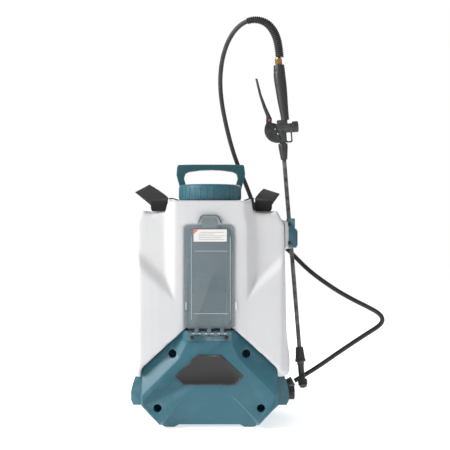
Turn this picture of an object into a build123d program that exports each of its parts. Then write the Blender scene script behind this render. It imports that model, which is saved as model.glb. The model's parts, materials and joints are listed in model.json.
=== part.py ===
from build123d import *
import math
import os

# Battery backpack sprayer: a moulded tank on a pump base, a battery behind a clear door, and a
# trigger wand held upright in a side clip.  Millimetres, +X to the user's right when facing the
# front, the front faces -Y, +Z is up and the feet stand on Z = 0.  Everything is drawn about the
# tank's own centre line, and moved at the end so that the origin is under the middle of the box.

# ---- driving dimensions -------------------------------------------------------------------
WALL = 3.0                 # blow-moulded tank wall
SHELL = 2.5                # injection-moulded base wall
TANK_FRONT = -100.0
TANK_BACK = 95.0
TANK_HALF = 162.0          # half width of the tank above its swelling
FLARE_HALF = 169.5         # half width of the swelling above the base
TANK_BOTTOM = 103.0
DECK_Z = 471.0             # flat top that carries the filler neck
NECK_R = 57.0
NECK_TOP = 496.0
CAP_R = 67.0
CAP_BOTTOM = 473.0
CAP_TOP = 506.0
CAP_Y = -6.0               # filler neck centre, forward of the handle
HANDLE_Y = 82.0
HANDLE_TOP = 557.0
BASE_FRONT = -105.0
BASE_SPLIT = -20.0         # joint between front and rear base shells
BASE_BACK = 98.0
BASE_TOP = 203.0
BAY_HALF = 46.0            # battery bay behind the door
BAY_BACK = -42.0
DOOR_HALF = 51.5
DOOR_BOTTOM = 208.0
DOOR_TOP = 420.0
HINGE_Y = -112.0
HINGE_Z = 199.0
BATTERY_Z = 214.0
BATTERY_H = 96.0
HOSE_D = 10.0
LANCE_R = 4.5
WAND_FOOT_X = 205.5        # where the lance's axis meets the floor
WAND_Y = -12.0
WAND_TILT = -4.63          # lean of the wand, degrees about Y
GAP = 0.3                  # clearance between bodies that slide past each other
CLIP_Y = -46.0             # back of the wand clip's plate
CLIP_SCREW_X = 168.5
CLIP_SCREW_Z = (421.0, 381.5)
SPIGOT_Y = 45.0            # the tank's outlet into the base


# ---- small helpers ------------------------------------------------------------------------
def mirrored(right_side, draw_in=0.0):
    """Face inside an outline given by its right-hand points, from top centre to bottom centre.
    With draw_in each side moves inwards by that much, and outwards if it is negative."""
    left_side = [(-x, y) for x, y in reversed(right_side) if x > 0.001]
    points = [point for point in right_side if point[0] > 0.001] + left_side
    sides = []
    for (x, y), (next_x, next_y) in zip(points, points[1:] + points[:1]):
        length = math.hypot(next_x - x, next_y - y)
        normal = ((next_y - y) / length, (x - next_x) / length)
        sides.append((normal, normal[0] * x + normal[1] * y + draw_in))
    corners = []
    for ((ax, ay), a), ((bx, by), b) in zip(sides[-1:] + sides[:-1], sides):
        across = ax * by - ay * bx
        corners.append(((a * by - b * ay) / across, (ax * b - bx * a) / across))
    return make_face(Polyline(*corners, close=True))


def along_y(face, y_low, y_high):
    """Extrudes an outline drawn in X and Z from y_low to y_high."""
    solid = extrude(face, amount=y_high - y_low)
    return Pos(0, y_high, 0) * Rot(90, 0, 0) * solid


def along_x(face, x_low, x_high):
    """Extrudes an outline drawn in Y and Z from x_low to x_high."""
    return Plane.YZ.offset(x_low) * extrude(face, amount=x_high - x_low)


def block(x, y, z):
    """A box from (low, high) pairs."""
    size = [b - a for a, b in (x, y, z)]
    centre = [(a + b) / 2 for a, b in (x, y, z)]
    return Pos(*centre) * Box(*size)


def rod(radius, start, direction, length):
    """A round bar from a start point along a direction."""
    plane = Plane(origin=start, z_dir=direction)
    return plane * extrude(Circle(radius), amount=length)


def ring(outer, inner, start, direction, length):
    """A round tube from a start point along a direction."""
    plane = Plane(origin=start, z_dir=direction)
    return plane * extrude(Circle(outer) - Circle(inner), amount=length)


def trim(solid, point, normal, size=900):
    """Cuts away everything on the normal's side of a plane."""
    cutter = Plane(origin=point, z_dir=normal) * Pos(0, 0, size / 2) * Box(size, size, size)
    return solid - cutter


def turned(points, centre=(0, 0, 0)):
    """A solid of revolution about a vertical axis from (radius, height) points."""
    face = make_face(Polyline(*points, close=True))
    return Pos(*centre) * revolve(Plane.XZ * face, axis=Axis.Z)


def round_edges(solid, edges, radius):
    """Rounds edges where the kernel can, at full radius or half of it."""
    for size in (radius, radius / 2):
        try:
            rounded = fillet(edges, size)
            if rounded.is_valid:
                return rounded
        except Exception:
            continue
    return solid


def screw(point, direction, head_r, head_h, shank_r, shank_l):
    """A pan-head screw whose head's seat is at the point; direction points out of the head."""
    out = Vector(*direction).normalized()
    head = rod(head_r, point, out, head_h)
    head -= rod(head_r * 0.45, Vector(*point) + out * head_h * 0.5, out, head_h)
    return head + rod(shank_r, Vector(*point) - out * shank_l, out, shank_l + 0.2)


def wand(x=0, y=0, u=0):
    """A place on the wand: x and y across its axis, u along it from the floor."""
    return Location((WAND_FOOT_X, WAND_Y, 0), (0, WAND_TILT, 0)) * Location((x, y, u))


# ---- tank ---------------------------------------------------------------------------------
TANK_OUTLINE = [(0, DECK_Z), (80, DECK_Z), (88, 466), (90.5, 446), (108, 443.5), (131, 443), (136, 451), (142, 449),
                (149, 434), (156, 424), (TANK_HALF, 192), (FLARE_HALF, 140), (FLARE_HALF, 112),
                (164, TANK_BOTTOM), (0, TANK_BOTTOM)]
TANK_PLAN = [(0, TANK_BACK), (144, TANK_BACK), (TANK_HALF, 80), (FLARE_HALF, 66), (FLARE_HALF, -52),
             (TANK_HALF, -68), (146, -84), (92, -86), (72, TANK_FRONT), (0, TANK_FRONT)]
ROOF = [(0, BASE_TOP), (52, BASE_TOP), (140, 121), (140, 60), (0, 60)]


def tank_block(draw_in):
    """The tank's outer form, or the same form drawn in by the wall for its hollow."""
    front = along_y(mirrored(TANK_OUTLINE, draw_in), TANK_FRONT, TANK_BACK)
    plan = Pos(0, 0, 60) * extrude(mirrored(TANK_PLAN, draw_in), amount=460)
    return front & plan


def bay_block(grow):
    """The battery bay, open to the front; grown by the wall when the hollow is cut."""
    return block((-BAY_HALF - grow, BAY_HALF + grow), (TANK_FRONT - 20, BAY_BACK + grow),
                 (60, 412 + grow))


def tank():
    shell = tank_block(0)
    for side in (-1, 1):
        horn = make_face(Polyline((side * 72, 466), (side * 89, 479), (side * 91.5, 440), close=True))
        shell += along_y(horn, -46, -34)
        shell += block(sorted((side * 92, side * 138)), (-30, -22), (430, 450))
    shell += block((154, 176), (CLIP_Y, CLIP_Y + 15), (370, 430))
    for z in CLIP_SCREW_Z:
        shell -= rod(2.5, (CLIP_SCREW_X, CLIP_Y - 1, z), (0, 1, 0), 14)
    # ledge for the door, and the roof over the pump base
    shell -= block((-DOOR_HALF - 1, DOOR_HALF + 1), (TANK_FRONT - 1, TANK_FRONT + 5),
                   (100, DOOR_TOP + 1.5))
    shell -= bay_block(0)
    shell -= along_y(mirrored(ROOF, -1.0), TANK_FRONT - 10, TANK_BACK + 10)
    hollow = tank_block(WALL)
    hollow -= block((-DOOR_HALF - 1 - WALL, DOOR_HALF + 1 + WALL),
                    (TANK_FRONT - 1, TANK_FRONT + 5 + WALL), (60, DOOR_TOP + 1.5 + WALL))
    hollow -= bay_block(WALL)
    hollow -= along_y(mirrored(ROOF, -1.0 - WALL), TANK_FRONT - 10, TANK_BACK + 10)
    shell -= hollow
    shell -= rod(NECK_R - WALL - 3, (0, CAP_Y, DECK_Z - 12), (0, 0, 1), 60)
    shell -= rod(9.1, (0, SPIGOT_Y, BASE_TOP - 2), (0, 0, 1), 12)
    print("tank holds %.1f litres" % (hollow.volume / 1e6))
    return shell


def filler_neck():
    """Collar welded to the tank's deck, which the lid turns on and the strainer hangs in."""
    bore = NECK_R - WALL - 3
    return turned([(bore, DECK_Z), (NECK_R + 1.2, DECK_Z), (NECK_R, DECK_Z + 1.5), (NECK_R, NECK_TOP),
                   (bore, NECK_TOP)], (0, CAP_Y, 0))


def filler_cap():
    """Knurled lid: a drum over the neck, closed at the top."""
    cap = turned([(0, CAP_TOP - 4), (NECK_R + 1.6, CAP_TOP - 4), (NECK_R + 1.6, CAP_BOTTOM),
                  (CAP_R - 1.5, CAP_BOTTOM), (CAP_R, CAP_BOTTOM + 3), (CAP_R, CAP_TOP - 4),
                  (CAP_R - 3, CAP_TOP), (CAP_R - 12, CAP_TOP), (CAP_R - 16, CAP_TOP - 1.6),
                  (0, CAP_TOP - 1.6)], (0, CAP_Y, 0))
    cap -= rod(4.0, (0, CAP_Y, CAP_TOP - 10), (0, 0, 1), 20)
    return cap


def cap_gasket():
    return ring(NECK_R - 0.4, NECK_R - 6.5, (0, CAP_Y, NECK_TOP + 2), (0, 0, 1), CAP_TOP - 6 - NECK_TOP)


def vent_valve():
    """Rubber duckbill in the middle of the lid that lets air in."""
    return turned([(0, CAP_TOP - 12), (3.9, CAP_TOP - 4.5), (3.9, CAP_TOP - 1.6), (7, CAP_TOP - 1.6),
                   (6, CAP_TOP + 0.6), (0, CAP_TOP + 0.6)], (0, CAP_Y, 0))


BASKET_R = NECK_R - WALL - 4.0
BASKET_DEPTH = 70.0


def fill_basket():
    """Strainer cup that hangs in the neck by its rim, slotted round its wall and open at the top."""
    low = NECK_TOP - BASKET_DEPTH
    rim_low = NECK_TOP + 0.2
    rim_top = NECK_TOP + 1.7
    cup = turned([(0, low), (BASKET_R - 6, low), (BASKET_R, rim_low), (NECK_R - 0.6, rim_low),
                  (NECK_R - 0.6, rim_top), (BASKET_R - 2, rim_top), (BASKET_R - 8, low + 2),
                  (0, low + 2)], (0, CAP_Y, 0))
    slots = [Pos(0, CAP_Y, low + 32) * Rot(0, 0, angle) * Box(120, 5, 44) for angle in range(0, 180, 15)]
    floor = [Pos(x, CAP_Y, low) * Box(4, 60, 8) for x in (-24, -12, 0, 12, 24)]
    return cup - slots - floor


def carry_handle():
    """Rigid loop behind the lid: a bowed grip bar on two legs that stand on the deck."""
    outer = Polyline((-76, 552), (-74, 556), (-40, 557), (0, HANDLE_TOP), (40, 557), (74, 556), (76, 552),
                     (78, 534), (69, 500), (66, DECK_Z + 0.3), (-66, DECK_Z + 0.3), (-69, 500),
                     (-78, 534), close=True)
    opening = make_face(Polyline((-58, 536), (-50, 540), (-25, 543.5), (0, 544.5), (25, 543.5), (50, 540),
                                 (58, 536), (61, 526), (56, 508), (52, DECK_Z + 8), (-52, DECK_Z + 8),
                                 (-56, 508), (-61, 526), close=True))
    loop = along_y(make_face(outer) - opening, HANDLE_Y - 11, HANDLE_Y + 11)
    hollow_back = make_face(Polyline((-72, 551), (72, 551), (72, 549), (-72, 549), close=True))
    loop -= along_y(hollow_back, HANDLE_Y - 6, HANDLE_Y + 12)
    return loop


# ---- door and battery ---------------------------------------------------------------------
def door():
    """Clear door, hinged along its bottom edge: a thin frame with a raised panel and a top tab."""
    outline = RectangleRounded(2 * DOOR_HALF, DOOR_TOP - DOOR_BOTTOM, 9)
    mid_z = (DOOR_TOP + DOOR_BOTTOM) / 2
    plate = along_y(Pos(0, mid_z) * outline, TANK_FRONT - 3, TANK_FRONT - 0.5)
    panel = along_y(Pos(0, mid_z - 3) * RectangleRounded(83, DOOR_TOP - DOOR_BOTTOM - 14, 8),
                    TANK_FRONT - 7, TANK_FRONT - 0.5)
    hollow = along_y(Pos(0, mid_z - 3) * RectangleRounded(79, DOOR_TOP - DOOR_BOTTOM - 18, 6),
                     TANK_FRONT - 5, TANK_FRONT)
    tab = along_y(Pos(1, DOOR_TOP + 3) * RectangleRounded(32, 20, 4), TANK_FRONT - 7, TANK_FRONT - 2.9)
    leaf = plate + panel - hollow + tab
    for x in (-26, 0, 26):
        arm = make_face(Polyline((HINGE_Y + 1, HINGE_Z + 2.5), (TANK_FRONT - 1, DOOR_BOTTOM + 2),
                                 (TANK_FRONT - 1, DOOR_BOTTOM + 8), (TANK_FRONT - 4, DOOR_BOTTOM + 8),
                                 (HINGE_Y - 3, HINGE_Z + 2.5), close=True))
        leaf += along_x(arm, x - 4, x + 4)
        leaf += rod(4, (x - 4, HINGE_Y, HINGE_Z), (1, 0, 0), 8)
        leaf -= rod(2.06, (x - 5, HINGE_Y, HINGE_Z), (1, 0, 0), 10)
    return leaf


def door_label():
    """Blank adhesive label near the top of the door."""
    return block((-32, 36), (TANK_FRONT - 7.3, TANK_FRONT - 7.0), (386, 411))


def door_catch():
    """Bowed spring hoop on the tank that the door's tab snaps under."""
    outer = make_face(Polyline((-24, 424), (-18, 438), (-12, 441), (14, 441), (20, 438), (26, 424),
                               close=True))
    inner = make_face(Polyline((-22, 423), (-16.5, 436.5), (-11.5, 439), (13.5, 439), (18.5, 436.5),
                               (24, 423), close=True))
    return along_y(outer - inner, TANK_FRONT - 9, TANK_FRONT)


def hinge_bracket():
    """Plate along the top of the base that carries the door's hinge pin."""
    plate = block((-46, 46), (BASE_FRONT - 3, BASE_FRONT), (183, BASE_TOP))
    for x in (-39, -13, 13, 39):
        plate += block((x - 4, x + 4), (HINGE_Y, BASE_FRONT), (HINGE_Z - 4, HINGE_Z + 4))
        plate += rod(4, (x - 4, HINGE_Y, HINGE_Z), (1, 0, 0), 8)
        plate -= rod(2, (x - 5, HINGE_Y, HINGE_Z), (1, 0, 0), 10)
    for x in (-26, 0, 26):
        plate -= block((x - 4.6, x + 4.6), (BASE_FRONT - 5, BASE_FRONT), (HINGE_Z - 6, BASE_TOP + 1))
    for x in (-35, 35):
        plate -= rod(2.6, (x, BASE_FRONT - 10, 189), (0, 1, 0), 12)
    return plate


def hinge_pin():
    return rod(2, (-44, HINGE_Y, HINGE_Z), (1, 0, 0), 88)


def hinge_screws():
    return [screw((x, BASE_FRONT - 3, 189), (0, -1, 0), 4.2, 2.2, 2.2, 12) for x in (-35, 35)]


BATTERY_MID_Y = -70.0


def battery_case():
    """Slide-in pack with a domed front, a shoulder round its top and a slot for the dock's blades."""
    base = Pos(0, BATTERY_MID_Y, BATTERY_Z) * extrude(RectangleRounded(76, 46, 6), amount=BATTERY_H - 30)
    top = Pos(0, BATTERY_MID_Y, BATTERY_Z + BATTERY_H - 30) * extrude(RectangleRounded(64, 42, 8), amount=30)
    case = round_edges(base + top, (base + top).faces().sort_by(Axis.Z)[-1].edges(), 6)
    case -= block((-18, 18), (BATTERY_MID_Y - 9, BATTERY_MID_Y + 9), (BATTERY_Z - 1, BATTERY_Z + 14))
    case -= block((-17, 17), (BATTERY_MID_Y - 24, BATTERY_MID_Y - 17.5),
                  (BATTERY_Z + 70, BATTERY_Z + 90))
    return case


def battery_latch():
    """Push button in the pack's front face that lets it go from the dock."""
    return block((-16.6, 16.6), (BATTERY_MID_Y - 23, BATTERY_MID_Y - 20.8),
                 (BATTERY_Z + 70.4, BATTERY_Z + 89.6))


def battery_dock():
    """Foot of the bay: a tray that guides the pack and holds its contact blades."""
    tray = block((-44, 44), (TANK_FRONT + 6, BAY_BACK - 2), (BASE_TOP + 0.2, BATTERY_Z - 0.3))
    tray -= block((-30, 30), (TANK_FRONT + 14, TANK_FRONT + 40), (BATTERY_Z - 4, BATTERY_Z + 1))
    post = block((-17.4, 17.4), (BATTERY_MID_Y - 8.4, BATTERY_MID_Y + 8.4),
                 (BASE_TOP + 0.2, BATTERY_Z + 5))
    return tray + post


def dock_blades():
    return [block((x - 0.6, x + 0.6), (BATTERY_MID_Y - 6, BATTERY_MID_Y + 6),
                  (BATTERY_Z + 5, BATTERY_Z + 13)) for x in (-12, 0, 12)]


# ---- pump base ----------------------------------------------------------------------------
FRONT_OUTLINE = [(0, BASE_TOP), (52, BASE_TOP), (140, 121), (140, 49), (94, 0.8), (72, 0.8), (63, 6), (0, 6)]
REAR_OUTLINE = [(0, BASE_TOP), (52, BASE_TOP), (140, 121), (140, 100), (152, 99), (160, 96), (166, 80),
                (170, 62), (170, 44), (165, 33), (148, 33), (124, 10), (112, 3), (70, 3), (62, 11), (0, 11)]
CORNER_SCREWS = [(76, 154.5), (106, 44.5)]
FRONT_FEET_Y = (-78, -34)
FRONT_FEET_TOP = 3.8
SCREW_SEAT_Y = -60.0
# Sloping facets of an upper corner: a point on the front face's edge, the facet's direction
# outwards, how far across it runs and how far back it falls over that run.
CORNER_PLANES = [(100, 107.5, 0.705, 0.709, 34, 24), (54.5, 160.5, 0.90, 0.43, 28, 24),
                 (46.3, 188, 0.995, 0.10, 20, 22)]


def corner_cut(side, grow):
    """What the sloping facets take off one upper corner; grown by the wall for the hollow.
    The cut lies outside all its planes, so the front face flares from its neck to the corner."""
    cut = block(sorted((side * 20, side * 200)), (BASE_FRONT - 20, BASE_SPLIT), (0, BASE_TOP + 40))
    for x, z, lean_x, lean_z, across, back in CORNER_PLANES:
        outward = Vector(side * lean_x * back, -across, lean_z * back).normalized()
        cut = trim(cut, Vector(side * x, BASE_FRONT, z) - outward * grow, -outward)
    return cut


def lower_facet(grow):
    """The wedge taken out of the front between the feet; grown by the wall for the hollow."""
    wedge = block((-150, 150), (BASE_FRONT - 10, BASE_FRONT + 40), (-10, 90))
    slope = Vector(0, 65, 22).normalized()
    wedge = trim(wedge, Vector(0, BASE_FRONT, 76) + slope * grow, slope)
    for side in (-1, 1):
        flank = Vector(side * 0.713 * 22, 8, 0.70 * 22).normalized()
        wedge = trim(wedge, Vector(side * 39, BASE_FRONT, 76) + flank * grow, flank)
    return wedge


def front_form(draw_in, back):
    """Faceted front of the base, or the same form drawn in by the shell's wall."""
    form = along_y(mirrored(FRONT_OUTLINE, draw_in), BASE_FRONT + draw_in, back)
    return form - lower_facet(draw_in) - corner_cut(-1, draw_in) - corner_cut(1, draw_in)


def base_front_shell():
    """Front half of the pump housing with its facets and four deep screw pockets."""
    form = front_form(0, BASE_SPLIT)
    creases = form.edges().filter_by(lambda e: e.center().Y < BASE_SPLIT - 2 and e.center().Z > 20)
    shell = round_edges(form, creases, 4) - front_form(SHELL, BASE_SPLIT + 10)
    room = front_form(1.0, BASE_SPLIT)
    for side in (-1, 1):
        for x, z in CORNER_SCREWS:
            shell += rod(11, (side * x, BASE_FRONT - 5, z), (0, 1, 0), SCREW_SEAT_Y + 4 - BASE_FRONT + 5) & room
            shell -= rod(8.5, (side * x, BASE_FRONT - 6, z), (0, 1, 0), SCREW_SEAT_Y - BASE_FRONT + 6)
            shell -= rod(2.6, (side * x, BASE_FRONT, z), (0, 1, 0), 60)
    for x in (-35, 35):
        shell -= rod(2.2, (x, BASE_FRONT - 1, 189), (0, 1, 0), 12)
    for x in (-81, 81):
        shell -= block((x - 9, x + 9), FRONT_FEET_Y, (-1, FRONT_FEET_TOP))
    return shell


def base_rear_shell():
    """Rear half of the pump housing, wider than the front, with the floor under the tank."""
    form = along_y(mirrored(REAR_OUTLINE), BASE_SPLIT + 0.2, BASE_BACK)
    corners = form.edges().filter_by(lambda e: e.center().Y > BASE_BACK - 1 and abs(e.center().X) > 100)
    shell = round_edges(form, corners, 8)
    shell -= along_y(mirrored(REAR_OUTLINE, SHELL), BASE_SPLIT + SHELL, BASE_BACK - SHELL)
    shell -= along_y(mirrored(FRONT_OUTLINE, SHELL), BASE_SPLIT - 5, BASE_SPLIT + 30)
    for side in (-1, 1):
        for x, z in CORNER_SCREWS:
            shell += rod(6, (side * x, SCREW_SEAT_Y + 4.3, z), (0, 1, 0), BASE_BACK - 4 - SCREW_SEAT_Y)
            shell -= rod(2.5, (side * x, SCREW_SEAT_Y, z), (0, 1, 0), 26)
    shell -= rod(9.2, (0, SPIGOT_Y, BASE_TOP - 10), (0, 0, 1), 20)
    shell -= rod(4.2, (140, KNOB_Y, KNOB_Z), (1, 0, 0), 40)
    shell -= rod(7.2, along_outlet(60), outlet_direction(), 50)
    shell -= rod(11.6, along_outlet(18), outlet_direction(), 30)
    return shell


def badge_plate():
    """Blank hexagonal plate on the front face."""
    outline = [(0, 154), (24, 154), (70, 110.5), (53, 92), (0, 92)]
    plate = along_y(mirrored(outline), BASE_FRONT - 1.6, BASE_FRONT)
    return plate - along_y(mirrored(outline, 3), BASE_FRONT - 2, BASE_FRONT - 1.2)


def front_screws():
    return [screw((side * x, SCREW_SEAT_Y, z), (0, -1, 0), 5.5, 3.5, 2.4, 22)
            for side in (-1, 1) for x, z in CORNER_SCREWS]


def rubber_feet():
    """Front feet pressed into windows in the front shell, rear feet stuck under the rear shell."""
    return [block((x - 9, x + 9), y, (0, top)) for x in (-81, 81)
            for y, top in ((FRONT_FEET_Y, FRONT_FEET_TOP), ((-10, 84), 3))]


# ---- pump, wiring and controls inside the base ---------------------------------------------
MOTOR_Y = 42.0
MOTOR_Z = 62.0
KNOB_Y = 24.0
KNOB_Z = 52.0
OUTLET_Y = 70.0


def outlet_direction():
    """The way the hose leaves the base: out to the side and up."""
    return tuple((Vector(*HOSE[-2]) - Vector(*HOSE[-1])).normalized())


def along_outlet(distance):
    """A point on the hose outlet's axis, measured back from the hose's end."""
    direction = Vector(*outlet_direction())
    return Vector(*HOSE[-1]) - direction * distance


def tank_outlet():
    """Threaded spigot through the tank's floor into the base."""
    return ring(9, 5, (0, SPIGOT_Y, BASE_TOP - 14), (0, 0, 1), 24) \
        + ring(14, 9, (0, SPIGOT_Y, BASE_TOP - 8), (0, 0, 1), 4)


def outlet_strainer():
    """Fine mesh thimble over the spigot inside the tank."""
    cup = turned([(0, BASE_TOP + 34), (11, BASE_TOP + 34), (11.5, BASE_TOP + 10.2), (9.5, BASE_TOP + 10.2),
                  (9.5, BASE_TOP + 32), (0, BASE_TOP + 32)], (0, SPIGOT_Y, 0))
    return cup - [Pos(0, SPIGOT_Y, BASE_TOP + 21) * Rot(0, 0, angle) * Box(40, 3, 14) for angle in (0, 60, 120)]


def suction_tube():
    """Clear tube from the tank's spigot down to the pump's inlet."""
    route = FilletPolyline((0, SPIGOT_Y, BASE_TOP - 14.2), (0, SPIGOT_Y, 150), (40, MOTOR_Y, 130), (40, MOTOR_Y, 93.2),
                           radius=14)
    section = Plane(origin=route @ 0, z_dir=route % 0) * (Circle(6) - Circle(4))
    return sweep(section, path=route)


def delivery_tube():
    """Reinforced tube from the pump's outlet to the hose outlet in the side of the base."""
    end = along_outlet(40.4)
    route = FilletPolyline((66.2, MOTOR_Y, MOTOR_Z), (81, MOTOR_Y, MOTOR_Z), (92, 52, 27),
                           (114, OUTLET_Y, 26), end - Vector(*outlet_direction()) * 22, end, radius=8)
    section = Plane(origin=route @ 0, z_dir=route % 0) * (Circle(5.5) - Circle(3.5))
    return sweep(section, path=route)


def pump_motor():
    can = rod(23, (-78, MOTOR_Y, MOTOR_Z), (1, 0, 0), 66) - rod(19, (-76, MOTOR_Y, MOTOR_Z), (1, 0, 0), 62)
    can += rod(8, (-82, MOTOR_Y, MOTOR_Z), (1, 0, 0), 5)
    return can - rod(2.55, (-80, MOTOR_Y, MOTOR_Z), (1, 0, 0), 70)


def pump_rotor():
    """Armature, shaft and the offset cam that works the pump's diaphragms."""
    shaft = rod(2.5, (-79, MOTOR_Y, MOTOR_Z), (1, 0, 0), 86)
    shaft += rod(17.5, (-68, MOTOR_Y, MOTOR_Z), (1, 0, 0), 44)
    return shaft + rod(8, (-8, MOTOR_Y + 1.5, MOTOR_Z), (1, 0, 0), 14)


def pump_head():
    """Cam housing and valve head in one stack, with an inlet on top and an outlet at the end."""
    body = block((-11.8, 50), (MOTOR_Y - 26, MOTOR_Y + 26), (MOTOR_Z - 26, MOTOR_Z + 26))
    body = round_edges(body, body.edges().filter_by(Axis.X), 6)
    body -= rod(11, (-12, MOTOR_Y, MOTOR_Z), (1, 0, 0), 21)
    body += rod(24, (50, MOTOR_Y, MOTOR_Z), (1, 0, 0), 6)
    body += ring(7, 4, (56, MOTOR_Y, MOTOR_Z), (1, 0, 0), 10)
    return body + ring(7.5, 4.5, (40, MOTOR_Y, MOTOR_Z + 25), (0, 0, 1), 6)


def pump_screws():
    return [screw((56, MOTOR_Y + y, MOTOR_Z + z), (1, 0, 0), 3.4, 2.4, 1.8, 0)
            for y in (-12, 12) for z in (-12, 12)]


def pressure_switch():
    """Cut-off switch on the pump's head that stops the motor when the trigger is let go."""
    return block((-6, 22), (MOTOR_Y - 12, MOTOR_Y + 12), (MOTOR_Z + 26.2, MOTOR_Z + 44)) \
        + rod(5, (8, MOTOR_Y, MOTOR_Z + 43.8), (0, 0, 1), 6)


def control_board():
    board = block((-112, -50), (-52, -50), (62, 118))
    parts = [block((-104, -86), (-66, -52), (88, 108)), block((-74, -60), (-62, -52), (72, 92)),
             block((-100, -84), (-60, -52), (68, 78))]
    return board + parts


def wiring_loom():
    """Lead pairs from the dock to the board and from the board to the motor."""
    leads = []
    for x in (-64, -56):
        route = FilletPolyline((x, -49.8, 84), (x, -30, 84), (x - 10, 0, 90), (x - 10, MOTOR_Y, 90),
                               radius=6)
        leads.append(sweep(Plane(origin=route @ 0, z_dir=route % 0) * Circle(1.6), path=route))
    return leads


def speed_control():
    """Rotary control behind the knob."""
    return block((132, 158), (KNOB_Y - 12, KNOB_Y + 12), (KNOB_Z - 12, KNOB_Z + 12)) \
        + rod(4, (157, KNOB_Y, KNOB_Z), (1, 0, 0), 16)


def speed_knob():
    """Fluted knob on the side of the base that switches the pump on and sets its speed."""
    knob = rod(16, (172, KNOB_Y, KNOB_Z), (1, 0, 0), 13)
    knob = round_edges(knob, knob.faces().sort_by(Axis.X)[-1].edges(), 2)
    flutes = [Pos(172, KNOB_Y, KNOB_Z) * Rot(angle, 0, 0) * Pos(6, 17.4, 0) * Rot(0, 90, 0) * Cylinder(2.4, 16)
              for angle in range(0, 360, 30)]
    knob -= flutes
    return knob - rod(4.05, (170, KNOB_Y, KNOB_Z), (1, 0, 0), 10)


# ---- hose ---------------------------------------------------------------------------------
# Centre line from the wand's fitting, over the bend, down behind the tank, round its side and
# back to the outlet: 10 mm hose, stiff, with one sharp fold at its far end.
HOSE = [(147.1, -12, 782.8), (144.8, -12, 811), (136, -10, 838), (119, -6, 860), (91, 1, 868.5),
        (66, 11, 861), (47, 24, 845), (32, 38, 820), (21.5, 53, 786), (17.5, 70, 744), (21, 86, 700),
        (31, 101, 650), (45, 116, 597), (61, 129, 553), (77, 141, 517), (92, 151, 479), (103, 158, 440),
        (121, 160, 404), (148, 148, 380), (176, 118, 363), (196, 92, 340), (222, 76, 314.5),
        (252, 68, 292), (284, 62, 270.5), (319, 57, 251), (349, 56, 236.5), (376, 56, 221.5),
        (384, 56.5, 207), (375, 57, 193.5), (349, 59, 177), (309, 62, 150), (275.8, 64, 127),
        (244, 67, 104), (213, 70, 83.5), (186, 70, 68)]
HOSE_SPLIT = 9             # the wand carries the hose up to half way past this point
SLEEVE_LAST = 4            # the bend sleeve ends half way past this point


def corner_radii(route):
    """The largest arc each corner's two runs leave room for."""
    radii = []
    for before, here, after in zip(route, route[1:], route[2:]):
        first, second = Vector(*here) - Vector(*before), Vector(*after) - Vector(*here)
        turn = math.radians(first.get_angle(second))
        radii.append(0.45 * min(first.length, second.length) / math.tan(turn / 2))
    return radii


def halfway(index):
    return (Vector(*HOSE[index]) + Vector(*HOSE[index + 1])) / 2


def hose_path(first, last):
    """The hose's line between two stations of the route; a station with a half lies mid-run."""
    radii = corner_radii(HOSE)
    points = [Vector(*HOSE[i]) for i in range(math.ceil(first), math.floor(last) + 1)]
    inner = [radii[i - 1] for i in range(math.ceil(first), math.floor(last) + 1)
             if 0 < i < len(HOSE) - 1]
    if first != math.ceil(first):
        points.insert(0, halfway(math.floor(first)))
    if last != math.floor(last):
        points.append(halfway(math.floor(last)))
    return FilletPolyline(*points, radius=inner)


def hose_tube(first, last, outer, inner=0):
    line = hose_path(first, last)
    section = Circle(outer) - Circle(inner) if inner else Circle(outer)
    tube = sweep(Plane(origin=line @ 0, z_dir=line % 0) * section, path=line)
    expected = math.pi * (outer ** 2 - inner ** 2) * line.length
    print("tube %.1f to %.1f: length %.0f mm, volume %.3f of section times length"
          % (first, last, line.length, tube.volume / expected))
    return tube


def hose_upper():
    return hose_tube(0, HOSE_SPLIT + 0.5, HOSE_D / 2)


def hose_lower():
    return hose_tube(HOSE_SPLIT + 0.5, len(HOSE) - 1, HOSE_D / 2)


def bend_sleeve():
    """Ribbed sleeve that keeps the hose from kinking where it leaves the wand."""
    return hose_tube(0, SLEEVE_LAST + 0.5, 10, HOSE_D / 2 + 0.3)


def hose_outlet():
    """Barbed spigot through the base's side wall, pointing up and out."""
    return ring(7, 3.5, along_outlet(40), outlet_direction(), 40)


def outlet_nut():
    """Ribbed nut that clamps the hose's end to its spigot."""
    nut = ring(11, 7.1, along_outlet(16), outlet_direction(), 15.8)
    start = Vector(*along_outlet(16))
    plane = Plane(origin=start, z_dir=outlet_direction())
    return nut - [plane * Rot(0, 0, angle) * Pos(11.6, 0, 6) * Box(2.4, 2.4, 14) for angle in range(0, 360, 30)]


# ---- wand: gun, lance and nozzle ----------------------------------------------------------
GRIP_X = 5.0               # the grip and fitting stand off the lance's axis
VALVE_U = 636.0            # height of the valve's cross bore
PIVOT = (-15.0, 629.0)     # trigger pivot, across and along the wand


def across(radius, x, u, length, inner=0):
    """A bar across the wand, along its own +X."""
    section = Circle(radius) - Circle(inner) if inner else Circle(radius)
    return wand(x, 0, u) * Rot(0, 90, 0) * extrude(section, amount=length)


def upright(points, x=0):
    """A turned piece about the wand's axis, or about a line beside it, from (radius, u) points."""
    face = make_face(Polyline(*points, close=True))
    return wand(x, 0, 0) * revolve(Plane.XZ * face, axis=Axis.Z)


def cheek(points, y_low, y_high):
    """A flat piece in the wand's own X and U plane."""
    return wand() * along_y(make_face(Polyline(*points, close=True)), y_low, y_high)


def wand_block(x, y, u):
    return wand() * block(x, y, u)


def lance_tube():
    return upright([(3, 126), (LANCE_R, 126), (LANCE_R, 574), (3, 574)])


def lance_nut():
    """Fluted nut that locks the lance to the gun."""
    nut = upright([(4.6, 563), (7, 563), (10, 590), (10, 597.5), (7.4, 597.5), (7.4, 576), (4.6, 572)])
    return nut - [wand() * Rot(0, 0, angle) * Pos(10.4, 0, 583) * Box(3, 2.6, 36)
                  for angle in range(0, 360, 45)]


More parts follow.
